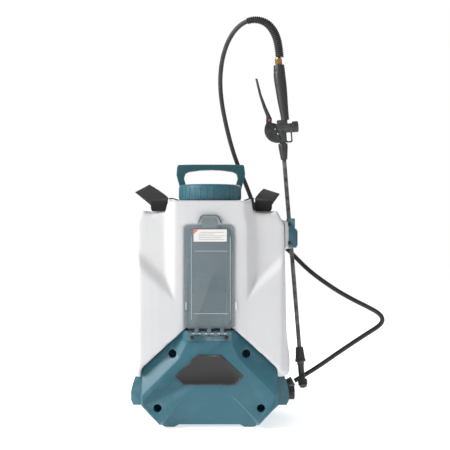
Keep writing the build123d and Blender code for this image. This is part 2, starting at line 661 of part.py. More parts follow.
def gun_body():
    """Valve housing: spigot for the lance, cross bore for the valve, ears for the trigger, hang loop."""
    body = upright([(3, 576.5), (7, 576.5), (7, 600), (9, 604), (9, 626), (3, 626)])
    body += across(10.5, -8, VALVE_U - 5, 31)
    body += wand_block((-9, 13), (-9, 9), (VALVE_U - 8, 648))
    for y in ((-8, -4), (4, 8)):
        body += wand_block((-21, -6), y, (622, 640))
        body += wand() * Pos(PIVOT[0], (y[0] + y[1]) / 2, PIVOT[1]) * Rot(90, 0, 0) * Cylinder(7, 4)
    body -= wand_block((-30, -8), (-3.9, 3.9), (615, 650))
    loop = RectangleRounded(15, 26, 4) - RectangleRounded(9.4, 20, 3)
    body += wand() * along_y(Pos(14, 612) * loop, -2.5, 2.5)
    body -= across(7, 6, VALVE_U, 30)
    body -= across(3.2, -20, VALVE_U, 40)
    body -= wand() * Pos(PIVOT[0], 0, PIVOT[1]) * Rot(90, 0, 0) * Cylinder(2, 30)
    return body - upright([(0, 570), (3.2, 570), (3.2, VALVE_U), (0, VALVE_U)])


def gun_grip():
    """Tapered oval grip from the valve housing up to the hose's swivel nut."""
    sections = [(9, 648.2, 8.8, 9.5), (8.5, 662, 9.2, 10), (7, 688, 11, 11), (6, 715, 12.4, 12),
                (GRIP_X, 735, 13, 12.7), (GRIP_X, 752.6, 12.4, 12.4)]
    faces = [wand(x, 0, u) * Ellipse(half_x, half_y) for x, u, half_x, half_y in sections]
    return loft(faces) - upright([(0, 640), (3.5, 640), (3.5, 770), (0, 770)], GRIP_X)


def gun_collar():
    """Ribbed swivel nut that joins the fitting to the grip."""
    nut = upright([(5.3, 753), (12, 753), (12.4, 755.6), (11.4, 767), (5.3, 767)], GRIP_X)
    return nut - [wand(GRIP_X, 0, 760) * Rot(0, 0, angle) * Pos(12.6, 0, 0) * Box(2.2, 2, 12)
                  for angle in range(0, 360, 30)]


def hose_fitting():
    """Brass barb between the swivel nut and the hose."""
    top = 784.7
    body = upright([(2.4, 753), (5.2, 753), (5.2, top), (2.4, top)], GRIP_X)
    flats = wand(GRIP_X, 0, 769) * extrude(RegularPolygon(7.8, 6) - Circle(4), amount=12)
    return body + flats


def trigger():
    """Squeeze lever: a bowed bar above two rounded cheeks that straddle the valve housing."""
    lever = [(-48, 742), (-43.5, 741), (-37.6, 706.6), (-29, 678), (-19.5, 653), (-21, 643.5),
             (-32, 643.5), (-31, 660), (-36.5, 679), (-42.6, 706.6)]
    bar = cheek(lever, -5.5, 5.5)
    bar = round_edges(bar, bar.edges().filter_by(lambda e: e.length > 20), 1.6)
    bar += cheek([(-32, 643.5), (-21, 643.5), (-20, 651), (-31.5, 655)], -11, 11)
    disc = Pos(-9, 629) * Circle(28) & make_face(Polyline((-50, 651), (-24, 651), (-4, 603), (-6, 595),
                                                          (-50, 595), close=True))
    for y in ((-11, -8.4), (8.4, 11)):
        bar += wand() * along_y(disc, *y)
    web = make_face(Polyline((-27, 645), (-22, 645), (-10.6, 641), (-10.6, 629), (-15, 624), (-22, 626),
                             close=True))
    bar += wand() * along_y(web, -3.5, 3.5)
    bar -= wand() * Pos(PIVOT[0], 0, PIVOT[1]) * Rot(90, 0, 0) * Cylinder(2.06, 30)
    return bar - wand() * Pos(-26.5, 0, 649) * Rot(90, 0, 0) * Cylinder(3.06, 30)


def trigger_pin():
    return wand() * Pos(PIVOT[0], 0, PIVOT[1]) * Rot(90, 0, 0) * Cylinder(2, 22.6)


def trigger_lock():
    """Push-through button that holds the trigger on."""
    return wand() * Pos(-26.5, -1, 649) * Rot(90, 0, 0) * Cylinder(3, 26)


def valve_stem():
    """Spring-loaded pin that the trigger pushes off its seat."""
    return across(2.5, -10, VALVE_U, 22) + across(6, 11, VALVE_U, 2)


def valve_spring():
    """Return spring between the stem's plate and the end cap."""
    coil = Helix(pitch=2.6, height=11.5, radius=4.4)
    wire = sweep(Plane(origin=coil @ 0, z_dir=coil % 0) * Circle(0.6), path=coil)
    return wand(13.8, 0, VALVE_U) * Rot(0, 90, 0) * wire


def valve_cap():
    """Fluted cap that closes the valve's cross bore."""
    cap = across(12, 23.3, VALVE_U - 4, 12.5)
    cap = round_edges(cap, cap.edges(), 1.5)
    return cap - across(6.8, 20, VALVE_U, 8)


def nozzle_nut():
    """Ribbed coupling nut at the lance's foot."""
    nut = upright([(4.6, 126), (11.5, 126), (11.5, 130.5), (10.4, 131), (8, 157), (4.6, 157)])
    return nut - [wand() * Rot(0, 0, angle) * Pos(11.4, 0, 144) * Box(4, 2.2, 24)
                  for angle in range(0, 360, 45)]


NOZZLE_AXIS = (0, -math.sin(math.radians(40)), -math.cos(math.radians(40)))


def nozzle_elbow():
    """Bent tube that turns the spray forward."""
    body = upright([(0, 100), (6.5, 100), (6.5, 118.6), (7.6, 118.6), (7.6, 125.7), (0, 125.7)])
    body += wand(0, 0, 100) * Sphere(6.5)
    body += wand() * rod(6.5, (0, 0, 100), NOZZLE_AXIS, 16)
    return body + wand() * rod(4.5, (0, 0, 100), NOZZLE_AXIS, 26)


def nozzle_cap():
    """Adjustable cone nozzle that turns on the elbow."""
    start = Vector(0, 0, 100) + Vector(*NOZZLE_AXIS) * 16.4
    cap = ring(10, 4.6, start, NOZZLE_AXIS, 10) + ring(8, 1.5, start + Vector(*NOZZLE_AXIS) * 10, NOZZLE_AXIS, 5)
    plane = Plane(origin=start, z_dir=NOZZLE_AXIS)
    flutes = [plane * Rot(0, 0, angle) * Pos(10.6, 0, 5) * Box(2.4, 2, 8) for angle in range(0, 360, 36)]
    return wand() * (cap - flutes)


# ---- wand clip ----------------------------------------------------------------------------

def wand_clip():
    """Plate on the tank's side lug with an arm and two open jaws round the lance."""
    plate = block((162.5, 180.2), (CLIP_Y - 5, CLIP_Y), (372, 434))
    plate += block((178, 183.8), (CLIP_Y - 5, CLIP_Y), (372, 412))
    plate = round_edges(plate, plate.edges().filter_by(Axis.Y), 2.5)
    plate += block((180.4, 183.8), (CLIP_Y - 1, -2), (374, 410))
    room = block((158, 183.8), (-60, 20), (360, 440))
    for u in (376, 394):
        jaw = wand(0, 0, u) * extrude(Circle(7.8) - Circle(LANCE_R + GAP), amount=14)
        link = wand_block((4, 14), (-4, 4), (u, u + 14)) - wand(0, 0, u) * Cylinder(LANCE_R + 1, 60)
        jaw -= wand_block((-14, -3.2), (-14, 14), (u - 1, u + 15))
        plate += (jaw + link) & room
    plate -= wand(0, 0, 300) * extrude(Circle(LANCE_R + GAP), amount=130)
    for z in CLIP_SCREW_Z:
        plate -= rod(2.6, (CLIP_SCREW_X, CLIP_Y - 8, z), (0, 1, 0), 12)
    return plate


def clip_screws():
    return [screw((CLIP_SCREW_X, CLIP_Y - 5, z), (0, -1, 0), 4.4, 2.4, 2.4, 12) for z in CLIP_SCREW_Z]


def clip_pad():
    """Rubber strip along the clip's outer edge."""
    return block((184.0, 186.2), (-44, -6), (376, 408))


# ---- harness ------------------------------------------------------------------------------
PAD_WIDTH = 44.0
PAD_LEAN = -6.0            # the pads spread towards the waist, degrees
PAD_TOP = (108.0, 456.0)
PAD_PROFILE = [(100, 6), (109, 3), (118, -50), (118, -130), (112, -232), (103, -232), (109, -130),
               (109, -50), (100, -6)]
WEB_PROFILE = [(108, -233), (110.5, -233), (106.5, -372), (104, -372)]


def plank(corner, along, width, thickness):
    """A flat strip from one corner, its run and its width; thickness is added upwards."""
    start, run, side = Vector(*corner), Vector(*along), Vector(*width)
    face = make_face(Polyline(start, start + run, start + run + side, start + side, close=True))
    normal = run.cross(side).normalized()
    return extrude(face, amount=thickness, dir=normal if normal.Z > 0 else -normal)


def on_back(side, profile, width):
    """A strip on the harness's line down the tank's back."""
    strip = along_x(make_face(Polyline(*profile, close=True)), -width / 2, width / 2)
    return Pos(side * PAD_TOP[0], 0, PAD_TOP[1]) * Rot(0, side * PAD_LEAN, 0) * strip


# Each strap's flap over the shoulder: side, lower outer corner, run backwards, width inwards.
FLAPS = [(-1, (-127, -14, 462), (-43, 54, 29), (32, 0, 17)),
         (1, (130.4, -14, 465.2), (20, 54, 22.4), (-36, 0, 11.5))]


def shoulder_straps():
    """Left and right straps: webbing over each shoulder, a pad down the back, webbing to the hook."""
    straps = []
    for side, start, run, width in FLAPS:
        flap = plank(start, run, width, 3)
        bend = Vector(*start) + Vector(*run) - Vector(0, 2, 0)
        over = plank(tuple(bend), (side * 130 - bend.X, 102 - bend.Y, 453 - bend.Z), width, 3)
        loop = block(sorted((side * 93, side * 129)), (-35, -31.5), (449, 474))
        hood = block(sorted((side * 93, side * 129)), (-35, -8), (468, 474))
        straps.append(flap + over + loop + hood)
        straps.append(block(sorted((side * 69, side * 91)), (-24, -4), (DECK_Z + 0.4, DECK_Z + 6)))
        straps.append(on_back(side, PAD_PROFILE, PAD_WIDTH))
        straps.append(on_back(side, WEB_PROFILE, 25))
    return straps


def strap_buckles():
    """Slide buckle at the foot of each pad and a hook in the base for each webbing."""
    buckles = []
    for side in (-1, 1):
        for drop, near in ((-238, 103.5), (-360, 98.6)):
            frame = [(near, drop - 14), (113.5, drop - 14), (113.5, drop), (near, drop)]
            slot = [(point[0], point[1]) for point in WEB_PROFILE]
            buckle = on_back(side, frame, 34)
            buckles.append(buckle - on_back(side, slot, 25.4))
    return buckles


# ---- write the parts ----------------------------------------------------------------------
HOSE_PIECES = [hose_upper, hose_lower, bend_sleeve]
PIECES = [tank, filler_neck, filler_cap, cap_gasket, vent_valve, fill_basket, carry_handle, door,
          door_label, door_catch, hinge_bracket, hinge_pin, hinge_screws, battery_case, battery_latch,
          battery_dock, dock_blades, base_front_shell, base_rear_shell, badge_plate, front_screws,
          rubber_feet, tank_outlet, outlet_strainer, suction_tube, delivery_tube, pump_motor, pump_rotor,
          pump_head, pump_screws, pressure_switch, control_board, wiring_loom, speed_control, speed_knob,
          hose_outlet, outlet_nut, hose_fitting, gun_collar, gun_body, gun_grip, trigger, trigger_pin,
          trigger_lock, valve_stem, valve_spring, valve_cap, lance_nut, lance_tube, nozzle_nut,
          nozzle_elbow, nozzle_cap, wand_clip, clip_screws, clip_pad, shoulder_straps, strap_buckles]


def as_compound(shape):
    """One compound of plain solids from a part, a list of parts or a nested mixture."""
    if isinstance(shape, (list, tuple)):
        return Compound(children=[solid for item in shape for solid in as_compound(item).solids()])
    return Compound(children=shape.solids())


def box_centre(shapes):
    """Middle of the box round the shapes, in X and Y."""
    boxes = [shape.bounding_box() for shape in shapes]
    return tuple((min(getattr(b.min, axis) for b in boxes) + max(getattr(b.max, axis) for b in boxes)) / 2
                 for axis in "XY")


print("hose bend radii:", " ".join("%.0f" % radius for radius in corner_radii(HOSE)))
os.makedirs("parts", exist_ok=True)
NODES = {make.__name__: as_compound(make()) for make in PIECES}
CENTRE = box_centre(NODES.values())
NODES.update({make.__name__: as_compound(make()) for make in HOSE_PIECES})
print("tank's centre line stands at X %.3f, Y %.3f" % (-CENTRE[0], -CENTRE[1]))
for name, shape in NODES.items():
    export_step(shape.moved(Location((-CENTRE[0], -CENTRE[1], 0))), "parts/%s.step" % name)
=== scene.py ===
import json
import math

import bmesh
import bpy
from mathutils import Matrix, Vector
from mathutils.bvhtree import BVHTree
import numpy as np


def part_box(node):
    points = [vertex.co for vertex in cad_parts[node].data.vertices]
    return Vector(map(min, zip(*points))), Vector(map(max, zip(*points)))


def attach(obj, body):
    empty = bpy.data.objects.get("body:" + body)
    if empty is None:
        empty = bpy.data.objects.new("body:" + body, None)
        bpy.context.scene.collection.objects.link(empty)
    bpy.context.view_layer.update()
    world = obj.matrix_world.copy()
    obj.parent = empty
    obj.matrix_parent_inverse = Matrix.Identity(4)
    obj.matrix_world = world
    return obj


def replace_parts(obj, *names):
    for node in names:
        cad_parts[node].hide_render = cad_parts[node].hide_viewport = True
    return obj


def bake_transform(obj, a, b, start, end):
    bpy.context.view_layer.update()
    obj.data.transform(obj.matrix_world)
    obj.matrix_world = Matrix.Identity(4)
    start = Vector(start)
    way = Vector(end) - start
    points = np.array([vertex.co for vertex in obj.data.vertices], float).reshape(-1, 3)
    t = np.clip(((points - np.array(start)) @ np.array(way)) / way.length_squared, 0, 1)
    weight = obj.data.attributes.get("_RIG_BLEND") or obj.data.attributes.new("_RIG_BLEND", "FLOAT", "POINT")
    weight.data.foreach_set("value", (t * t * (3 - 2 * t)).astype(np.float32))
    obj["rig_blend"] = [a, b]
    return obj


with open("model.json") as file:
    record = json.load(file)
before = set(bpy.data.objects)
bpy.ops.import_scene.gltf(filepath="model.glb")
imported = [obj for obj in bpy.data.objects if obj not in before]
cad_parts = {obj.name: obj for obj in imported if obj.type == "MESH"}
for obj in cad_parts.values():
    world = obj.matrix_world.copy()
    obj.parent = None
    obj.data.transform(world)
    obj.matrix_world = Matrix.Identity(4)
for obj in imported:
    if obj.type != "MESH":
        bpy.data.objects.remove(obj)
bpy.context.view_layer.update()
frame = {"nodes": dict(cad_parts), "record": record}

bl_info = {
    "name": "Backpack Sprayer",
    "version": (1, 0, 0),
    "blender": (4, 5, 0),
    "location": "View3D > Sidebar > Sprayer",
    "description": "Builds the looks of a battery backpack sprayer round its CAD frame",
    "category": "Object",
}

MM = 0.001


def centre_of(node):
    low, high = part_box(node)
    return (Vector(low) + Vector(high)) / 2


# The tank's own centre line stands off the origin, and its front is 100 mm ahead of it.
TANK_LINE = Vector((centre_of("tank").x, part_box("tank")[0].y + 0.1, 0))


def at(x, y, z):
    """A point in the row frame from millimetres about the tank's centre line."""
    return Vector((x * MM + TANK_LINE.x, y * MM + TANK_LINE.y, z * MM))


# Hose route in millimetres about the tank's centre line: off the wand's fitting, over the bend,
# down behind the tank, round its side, out to the fold and back to the base.
HOSE_ROUTE = [
    (147.1, -12, 782.8), (144.8, -12, 811), (136, -10, 838), (119, -6, 860), (91, 1, 868.5),
    (66, 11, 861), (47, 24, 845), (32, 38, 820), (21.5, 53, 786), (17.5, 70, 744), (21, 86, 700),
    (31, 101, 650), (45, 116, 597), (61, 129, 553), (77, 141, 517), (92, 151, 479), (103, 158, 440),
    (121, 160, 404), (148, 148, 380), (176, 118, 363), (196, 92, 340), (222, 76, 314.5),
    (252, 68, 292), (284, 62, 270.5), (319, 57, 251), (349, 56, 236.5), (376, 56, 221.5),
    (384, 56.5, 207), (375, 57, 193.5), (349, 59, 177), (309, 62, 150), (275.8, 64, 127),
    (244, 67, 104), (213, 70, 83.5), (186, 70, 68),
]


# ---- node trees ---------------------------------------------------------------------------
def put(tree, kind, **values):
    """Adds a node; a value that is a socket is linked, and any other is set on its input."""
    node = tree.nodes.new(kind)
    for name, value in values.items():
        if name.startswith("set_"):
            setattr(node, name[4:], value)
    for name, value in values.items():
        if name.startswith("set_"):
            continue
        socket = node.inputs[int(name[1:])] if name[0] == "_" and name[1:].isdigit() \
            else node.inputs[name.replace("_", " ")]
        if isinstance(value, bpy.types.NodeSocket):
            tree.links.new(value, socket)
        else:
            socket.default_value = value
    return node


def maths(tree, operation, a, b=0.0):
    return put(tree, "ShaderNodeMath", set_operation=operation, _0=a, _1=b).outputs[0]


def blended(tree, factor, a, b, mode="MIX"):
    """Mix of two colours; the colour sockets of the Mix node are its seventh and eighth."""
    node = put(tree, "ShaderNodeMix", set_data_type="RGBA", set_blend_type=mode, _0=factor, _6=a, _7=b)
    return node.outputs[2]


def ranged(tree, value, low, high, to_low=0.0, to_high=1.0):
    node = put(tree, "ShaderNodeMapRange", Value=value, From_Min=low, From_Max=high,
               To_Min=to_low, To_Max=to_high)
    return node.outputs[0]


def new_group(name, inputs, outputs):
    """An empty shader group with named sockets."""
    tree = bpy.data.node_groups.new(name, "ShaderNodeTree")
    for label, kind, value in inputs:
        socket = tree.interface.new_socket(name=label, in_out="INPUT", socket_type=kind)
        socket.default_value = value
    for label, kind in outputs:
        tree.interface.new_socket(name=label, in_out="OUTPUT", socket_type=kind)
    return tree, tree.nodes.new("NodeGroupInput").outputs, tree.nodes.new("NodeGroupOutput").inputs


COLOR, FLOAT, VECTOR = "NodeSocketColor", "NodeSocketFloat", "NodeSocketVector"


def moulded_group():
    """Moulded plastic: cloudy tone, orange-peel grain, fine scuffs, rubbed edges and settled dust."""
    name = "Moulded Surface"
    if name in bpy.data.node_groups:
        return bpy.data.node_groups[name]
    tree, given, out = new_group(
        name,
        [("Color", COLOR, (0.5, 0.5, 0.5, 1)), ("Tone", FLOAT, 0.08), ("Roughness", FLOAT, 0.45),
         ("Grain Scale", FLOAT, 900.0), ("Wear", FLOAT, 0.3), ("Dust", FLOAT, 0.05)],
        [("Color", COLOR), ("Roughness", FLOAT), ("Grain", FLOAT)])
    place = put(tree, "ShaderNodeTexCoord").outputs["Object"]
    cloud = put(tree, "ShaderNodeTexNoise", Vector=place, Scale=9.0, Detail=3.0).outputs[0]
    tone = maths(tree, "MULTIPLY", maths(tree, "SUBTRACT", cloud, 0.5), given["Tone"])
    bright = put(tree, "ShaderNodeHueSaturation", Color=given["Color"],
                 Value=maths(tree, "ADD", maths(tree, "MULTIPLY", tone, 2.0), 1.0)).outputs[0]
    # rubbed edges
    edge = ranged(tree, put(tree, "ShaderNodeNewGeometry").outputs["Pointiness"], 0.51, 0.6)
    patchy = put(tree, "ShaderNodeTexNoise", Vector=place, Scale=60.0, Detail=4.0).outputs[0]
    worn = maths(tree, "MULTIPLY", maths(tree, "MULTIPLY", edge, ranged(tree, patchy, 0.35, 0.65)),
                 given["Wear"])
    pale = blended(tree, 0.5, bright, (0.75, 0.78, 0.8, 1))
    rubbed = blended(tree, worn, bright, pale)
    # dust on what faces up
    up = put(tree, "ShaderNodeSeparateXYZ",
             Vector=put(tree, "ShaderNodeNewGeometry").outputs["Normal"]).outputs[2]
    settled = maths(tree, "MULTIPLY", maths(tree, "MULTIPLY", ranged(tree, up, 0.4, 1.0), patchy),
                    given["Dust"])
    dusty = blended(tree, settled, rubbed, (0.6, 0.58, 0.54, 1))
    # scuffs: noise drawn out along one direction
    drawn = put(tree, "ShaderNodeMapping", Vector=place, Scale=(40.0, 40.0, 700.0)).outputs[0]
    scuff = put(tree, "ShaderNodeTexNoise", Vector=drawn, Scale=1.0, Detail=5.0).outputs[0]
    rough = maths(tree, "ADD", given["Roughness"],
                  maths(tree, "MULTIPLY", maths(tree, "SUBTRACT", scuff, 0.5), 0.14))
    grain = put(tree, "ShaderNodeTexNoise", Vector=place, Scale=given["Grain Scale"], Detail=2.0).outputs[0]
    tree.links.new(dusty, out["Color"])
    tree.links.new(maths(tree, "ADD", rough, maths(tree, "MULTIPLY", settled, 0.5)), out["Roughness"])
    tree.links.new(grain, out["Grain"])
    return tree


def weave_group():
    """Woven tape on a piece's own UV map, in millimetres: U across the tape, V along it."""
    name = "Tape Weave"
    if name in bpy.data.node_groups:
        return bpy.data.node_groups[name]
    tree, given, out = new_group(
        name,
        [("Color", COLOR, (0.02, 0.02, 0.02, 1)), ("Light", COLOR, (0.08, 0.08, 0.08, 1)),
         ("Pitch", FLOAT, 1.6)],
        [("Color", COLOR), ("Height", FLOAT), ("Roughness", FLOAT)])
    spot = put(tree, "ShaderNodeSeparateXYZ", Vector=put(tree, "ShaderNodeUVMap").outputs[0])
    turns = maths(tree, "DIVIDE", 2 * math.pi, given["Pitch"])
    across = maths(tree, "MULTIPLY", spot.outputs[0], turns)
    along = maths(tree, "MULTIPLY", spot.outputs[1], turns)
    herring = maths(tree, "SINE", maths(tree, "ADD", along, maths(tree, "ABSOLUTE", across)))
    ribs = maths(tree, "SINE", maths(tree, "MULTIPLY", across, 1.0))
    height = maths(tree, "ADD", maths(tree, "MULTIPLY", herring, 0.5), maths(tree, "MULTIPLY", ribs, 0.35))
    place = put(tree, "ShaderNodeTexCoord").outputs["Object"]
    fuzz = put(tree, "ShaderNodeTexNoise", Vector=place, Scale=320.0, Detail=3.0).outputs[0]
    shade = ranged(tree, maths(tree, "ADD", height, maths(tree, "MULTIPLY", fuzz, 0.8)), -0.6, 1.4)
    tree.links.new(blended(tree, shade, given["Color"], given["Light"]), out["Color"])
    tree.links.new(ranged(tree, height, -1.0, 1.0), out["Height"])
    tree.links.new(ranged(tree, fuzz, 0.0, 1.0, 0.65, 0.9), out["Roughness"])
    return tree


def turned_group():
    """Turned or plated metal: fine tool marks and tarnish in patches."""
    name = "Turned Metal"
    if name in bpy.data.node_groups:
        return bpy.data.node_groups[name]
    tree, given, out = new_group(
        name,
        [("Color", COLOR, (0.6, 0.6, 0.6, 1)), ("Tarnish", COLOR, (0.3, 0.25, 0.2, 1)),
         ("Roughness", FLOAT, 0.3)],
        [("Color", COLOR), ("Roughness", FLOAT), ("Normal", VECTOR)])
    place = put(tree, "ShaderNodeTexCoord").outputs["Object"]
    patch = put(tree, "ShaderNodeTexNoise", Vector=place, Scale=180.0, Detail=4.0).outputs[0]
    drawn = put(tree, "ShaderNodeMapping", Vector=place, Scale=(200.0, 200.0, 4000.0)).outputs[0]
    marks = put(tree, "ShaderNodeTexNoise", Vector=drawn, Scale=1.0, Detail=2.0).outputs[0]
    tree.links.new(blended(tree, ranged(tree, patch, 0.45, 0.75, 0.0, 0.6), given["Color"], given["Tarnish"]),
                   out["Color"])
    tree.links.new(maths(tree, "ADD", given["Roughness"], ranged(tree, marks, 0.0, 1.0, -0.1, 0.15)),
                   out["Roughness"])
    bump = put(tree, "ShaderNodeBump", Strength=0.15, Distance=0.0003, Height=marks)
    tree.links.new(bump.outputs[0], out["Normal"])
    return tree


# ---- materials ----------------------------------------------------------------------------
MADE = {}


def new_material(name):
    material = bpy.data.materials.new(name)
    material.use_nodes = True
    shader = material.node_tree.nodes["Principled BSDF"]
    return material, material.node_tree, shader


def settle(shader, **values):
    for name, value in values.items():
        shader.inputs[name.replace("_", " ")].default_value = value


def moulded(name, color, roughness=0.45, tone=0.08, grain=900.0, depth=0.1, wear=0.3, dust=0.05,
            corner=0.0008, **fixed):
    """Moulded plastic or rubber; every corner is rounded a little in its normals."""
    material, tree, shader = new_material(name)
    group = put(tree, "ShaderNodeGroup", set_node_tree=moulded_group(), Tone=tone, Roughness=roughness,
                Grain_Scale=grain, Wear=wear, Dust=dust)
    if isinstance(color, tuple):
        group.inputs["Color"].default_value = (*color, 1)
    tree.links.new(group.outputs["Color"], shader.inputs["Base Color"])
    tree.links.new(group.outputs["Roughness"], shader.inputs["Roughness"])
    round_off = put(tree, "ShaderNodeBevel", set_samples=4, Radius=corner)
    skin = put(tree, "ShaderNodeBump", Strength=depth, Distance=0.0002, Height=group.outputs["Grain"],
               Normal=round_off.outputs[0])
    tree.links.new(skin.outputs[0], shader.inputs["Normal"])
    settle(shader, **fixed)
    return material


def metal(name, color, tarnish, roughness=0.3):
    material, tree, shader = new_material(name)
    group = put(tree, "ShaderNodeGroup", set_node_tree=turned_group(), Color=(*color, 1),
                Tarnish=(*tarnish, 1), Roughness=roughness)
    for label, socket in (("Color", "Base Color"), ("Roughness", "Roughness"), ("Normal", "Normal")):
        tree.links.new(group.outputs[label], shader.inputs[socket])
    settle(shader, Metallic=1.0)
    return material


def woven(name, dark, light, pitch):
    material, tree, shader = new_material(name)
    group = put(tree, "ShaderNodeGroup", set_node_tree=weave_group(), Color=(*dark, 1),
                Light=(*light, 1), Pitch=pitch)
    tree.links.new(group.outputs["Color"], shader.inputs["Base Color"])
    tree.links.new(group.outputs["Roughness"], shader.inputs["Roughness"])
    bump = put(tree, "ShaderNodeBump", Strength=0.7, Distance=0.0004, Height=group.outputs["Height"])
    tree.links.new(bump.outputs[0], shader.inputs["Normal"])
    settle(shader, Sheen_Weight=0.12, Sheen_Roughness=0.5, Specular_IOR_Level=0.25)
    return material


def see_through(name, color, roughness, alpha):
    """Clear plastic with faint cloud and fine scuffs; what lies behind shows through its alpha."""
    material, tree, shader = new_material(name)
    place = put(tree, "ShaderNodeTexCoord").outputs["Object"]
    cloud = put(tree, "ShaderNodeTexNoise", Vector=place, Scale=14.0, Detail=3.0).outputs[0]
    drawn = put(tree, "ShaderNodeMapping", Vector=place, Scale=(60.0, 60.0, 900.0)).outputs[0]
    scuff = put(tree, "ShaderNodeTexNoise", Vector=drawn, Scale=1.0, Detail=4.0).outputs[0]
    pale = tuple(min(1.0, c * 1.12) for c in color)
    tree.links.new(blended(tree, ranged(tree, cloud, 0.3, 0.7), (*color, 1), (*pale, 1)),
                   shader.inputs["Base Color"])
    tree.links.new(ranged(tree, scuff, 0.3, 0.8, roughness, roughness + 0.12), shader.inputs["Roughness"])
    tree.links.new(ranged(tree, scuff, 0.3, 0.8, alpha, alpha + 0.06), shader.inputs["Alpha"])
    bump = put(tree, "ShaderNodeBump", Strength=0.05, Distance=0.0005, Height=cloud)
    tree.links.new(bump.outputs[0], shader.inputs["Normal"])
    settle(shader, IOR=1.46, Coat_Weight=0.6, Coat_Roughness=0.06)
    return material


def tank_material():
    """Milky blow-moulded plastic: cloudy, waxy, with faint flow lines down it."""
    material, tree, shader = new_material("milky tank plastic")
    place = put(tree, "ShaderNodeTexCoord").outputs["Object"]
    cloud = put(tree, "ShaderNodeTexNoise", Vector=place, Scale=5.0, Detail=4.0).outputs[0]
    drawn = put(tree, "ShaderNodeMapping", Vector=place, Scale=(70.0, 70.0, 4.0)).outputs[0]
    flow = put(tree, "ShaderNodeTexNoise", Vector=drawn, Scale=1.0, Detail=3.0).outputs[0]
    color = blended(tree, ranged(tree, cloud, 0.3, 0.7), (0.66, 0.665, 0.69, 1), (0.74, 0.74, 0.755, 1))
    color = blended(tree, ranged(tree, flow, 0.45, 0.75, 0.0, 0.25), color, (0.64, 0.645, 0.66, 1))
    tree.links.new(color, shader.inputs["Base Color"])
    tree.links.new(ranged(tree, flow, 0.2, 0.8, 0.34, 0.5), shader.inputs["Roughness"])
    grain = put(tree, "ShaderNodeTexNoise", Vector=place, Scale=450.0, Detail=3.0).outputs[0]
    fine = put(tree, "ShaderNodeBump", Strength=0.12, Distance=0.0006, Height=grain)
    soft = put(tree, "ShaderNodeBump", Strength=0.25, Distance=0.002, Height=flow, Normal=fine.outputs[0])
    tree.links.new(soft.outputs[0], shader.inputs["Normal"])
    settle(shader, Subsurface_Weight=0.35, Subsurface_Radius=(0.02, 0.02, 0.022), Subsurface_Scale=0.6)
    return material


def hose_material():
    """Black hose with fine ribs of braid showing through its jacket, on the hose's UV map."""
    material, tree, shader = new_material("hose jacket")
    spot = put(tree, "ShaderNodeSeparateXYZ", Vector=put(tree, "ShaderNodeUVMap").outputs[0])
    first = maths(tree, "SINE", maths(tree, "ADD", maths(tree, "MULTIPLY", spot.outputs[0], 2.2),
                                      maths(tree, "MULTIPLY", spot.outputs[1], 1.9)))
    second = maths(tree, "SINE", maths(tree, "SUBTRACT", maths(tree, "MULTIPLY", spot.outputs[0], 2.2),
                                       maths(tree, "MULTIPLY", spot.outputs[1], 1.9)))
    braid = maths(tree, "MAXIMUM", first, second)
    place = put(tree, "ShaderNodeTexCoord").outputs["Object"]
    patch = put(tree, "ShaderNodeTexNoise", Vector=place, Scale=55.0, Detail=4.0).outputs[0]
    tree.links.new(blended(tree, ranged(tree, patch, 0.35, 0.75), (0.011, 0.011, 0.012, 1),
                           (0.034, 0.034, 0.036, 1)), shader.inputs["Base Color"])
    tree.links.new(ranged(tree, patch, 0.2, 0.8, 0.36, 0.55), shader.inputs["Roughness"])
    bump = put(tree, "ShaderNodeBump", Strength=0.12, Distance=0.0003, Height=braid)
    tree.links.new(bump.outputs[0], shader.inputs["Normal"])
    return material


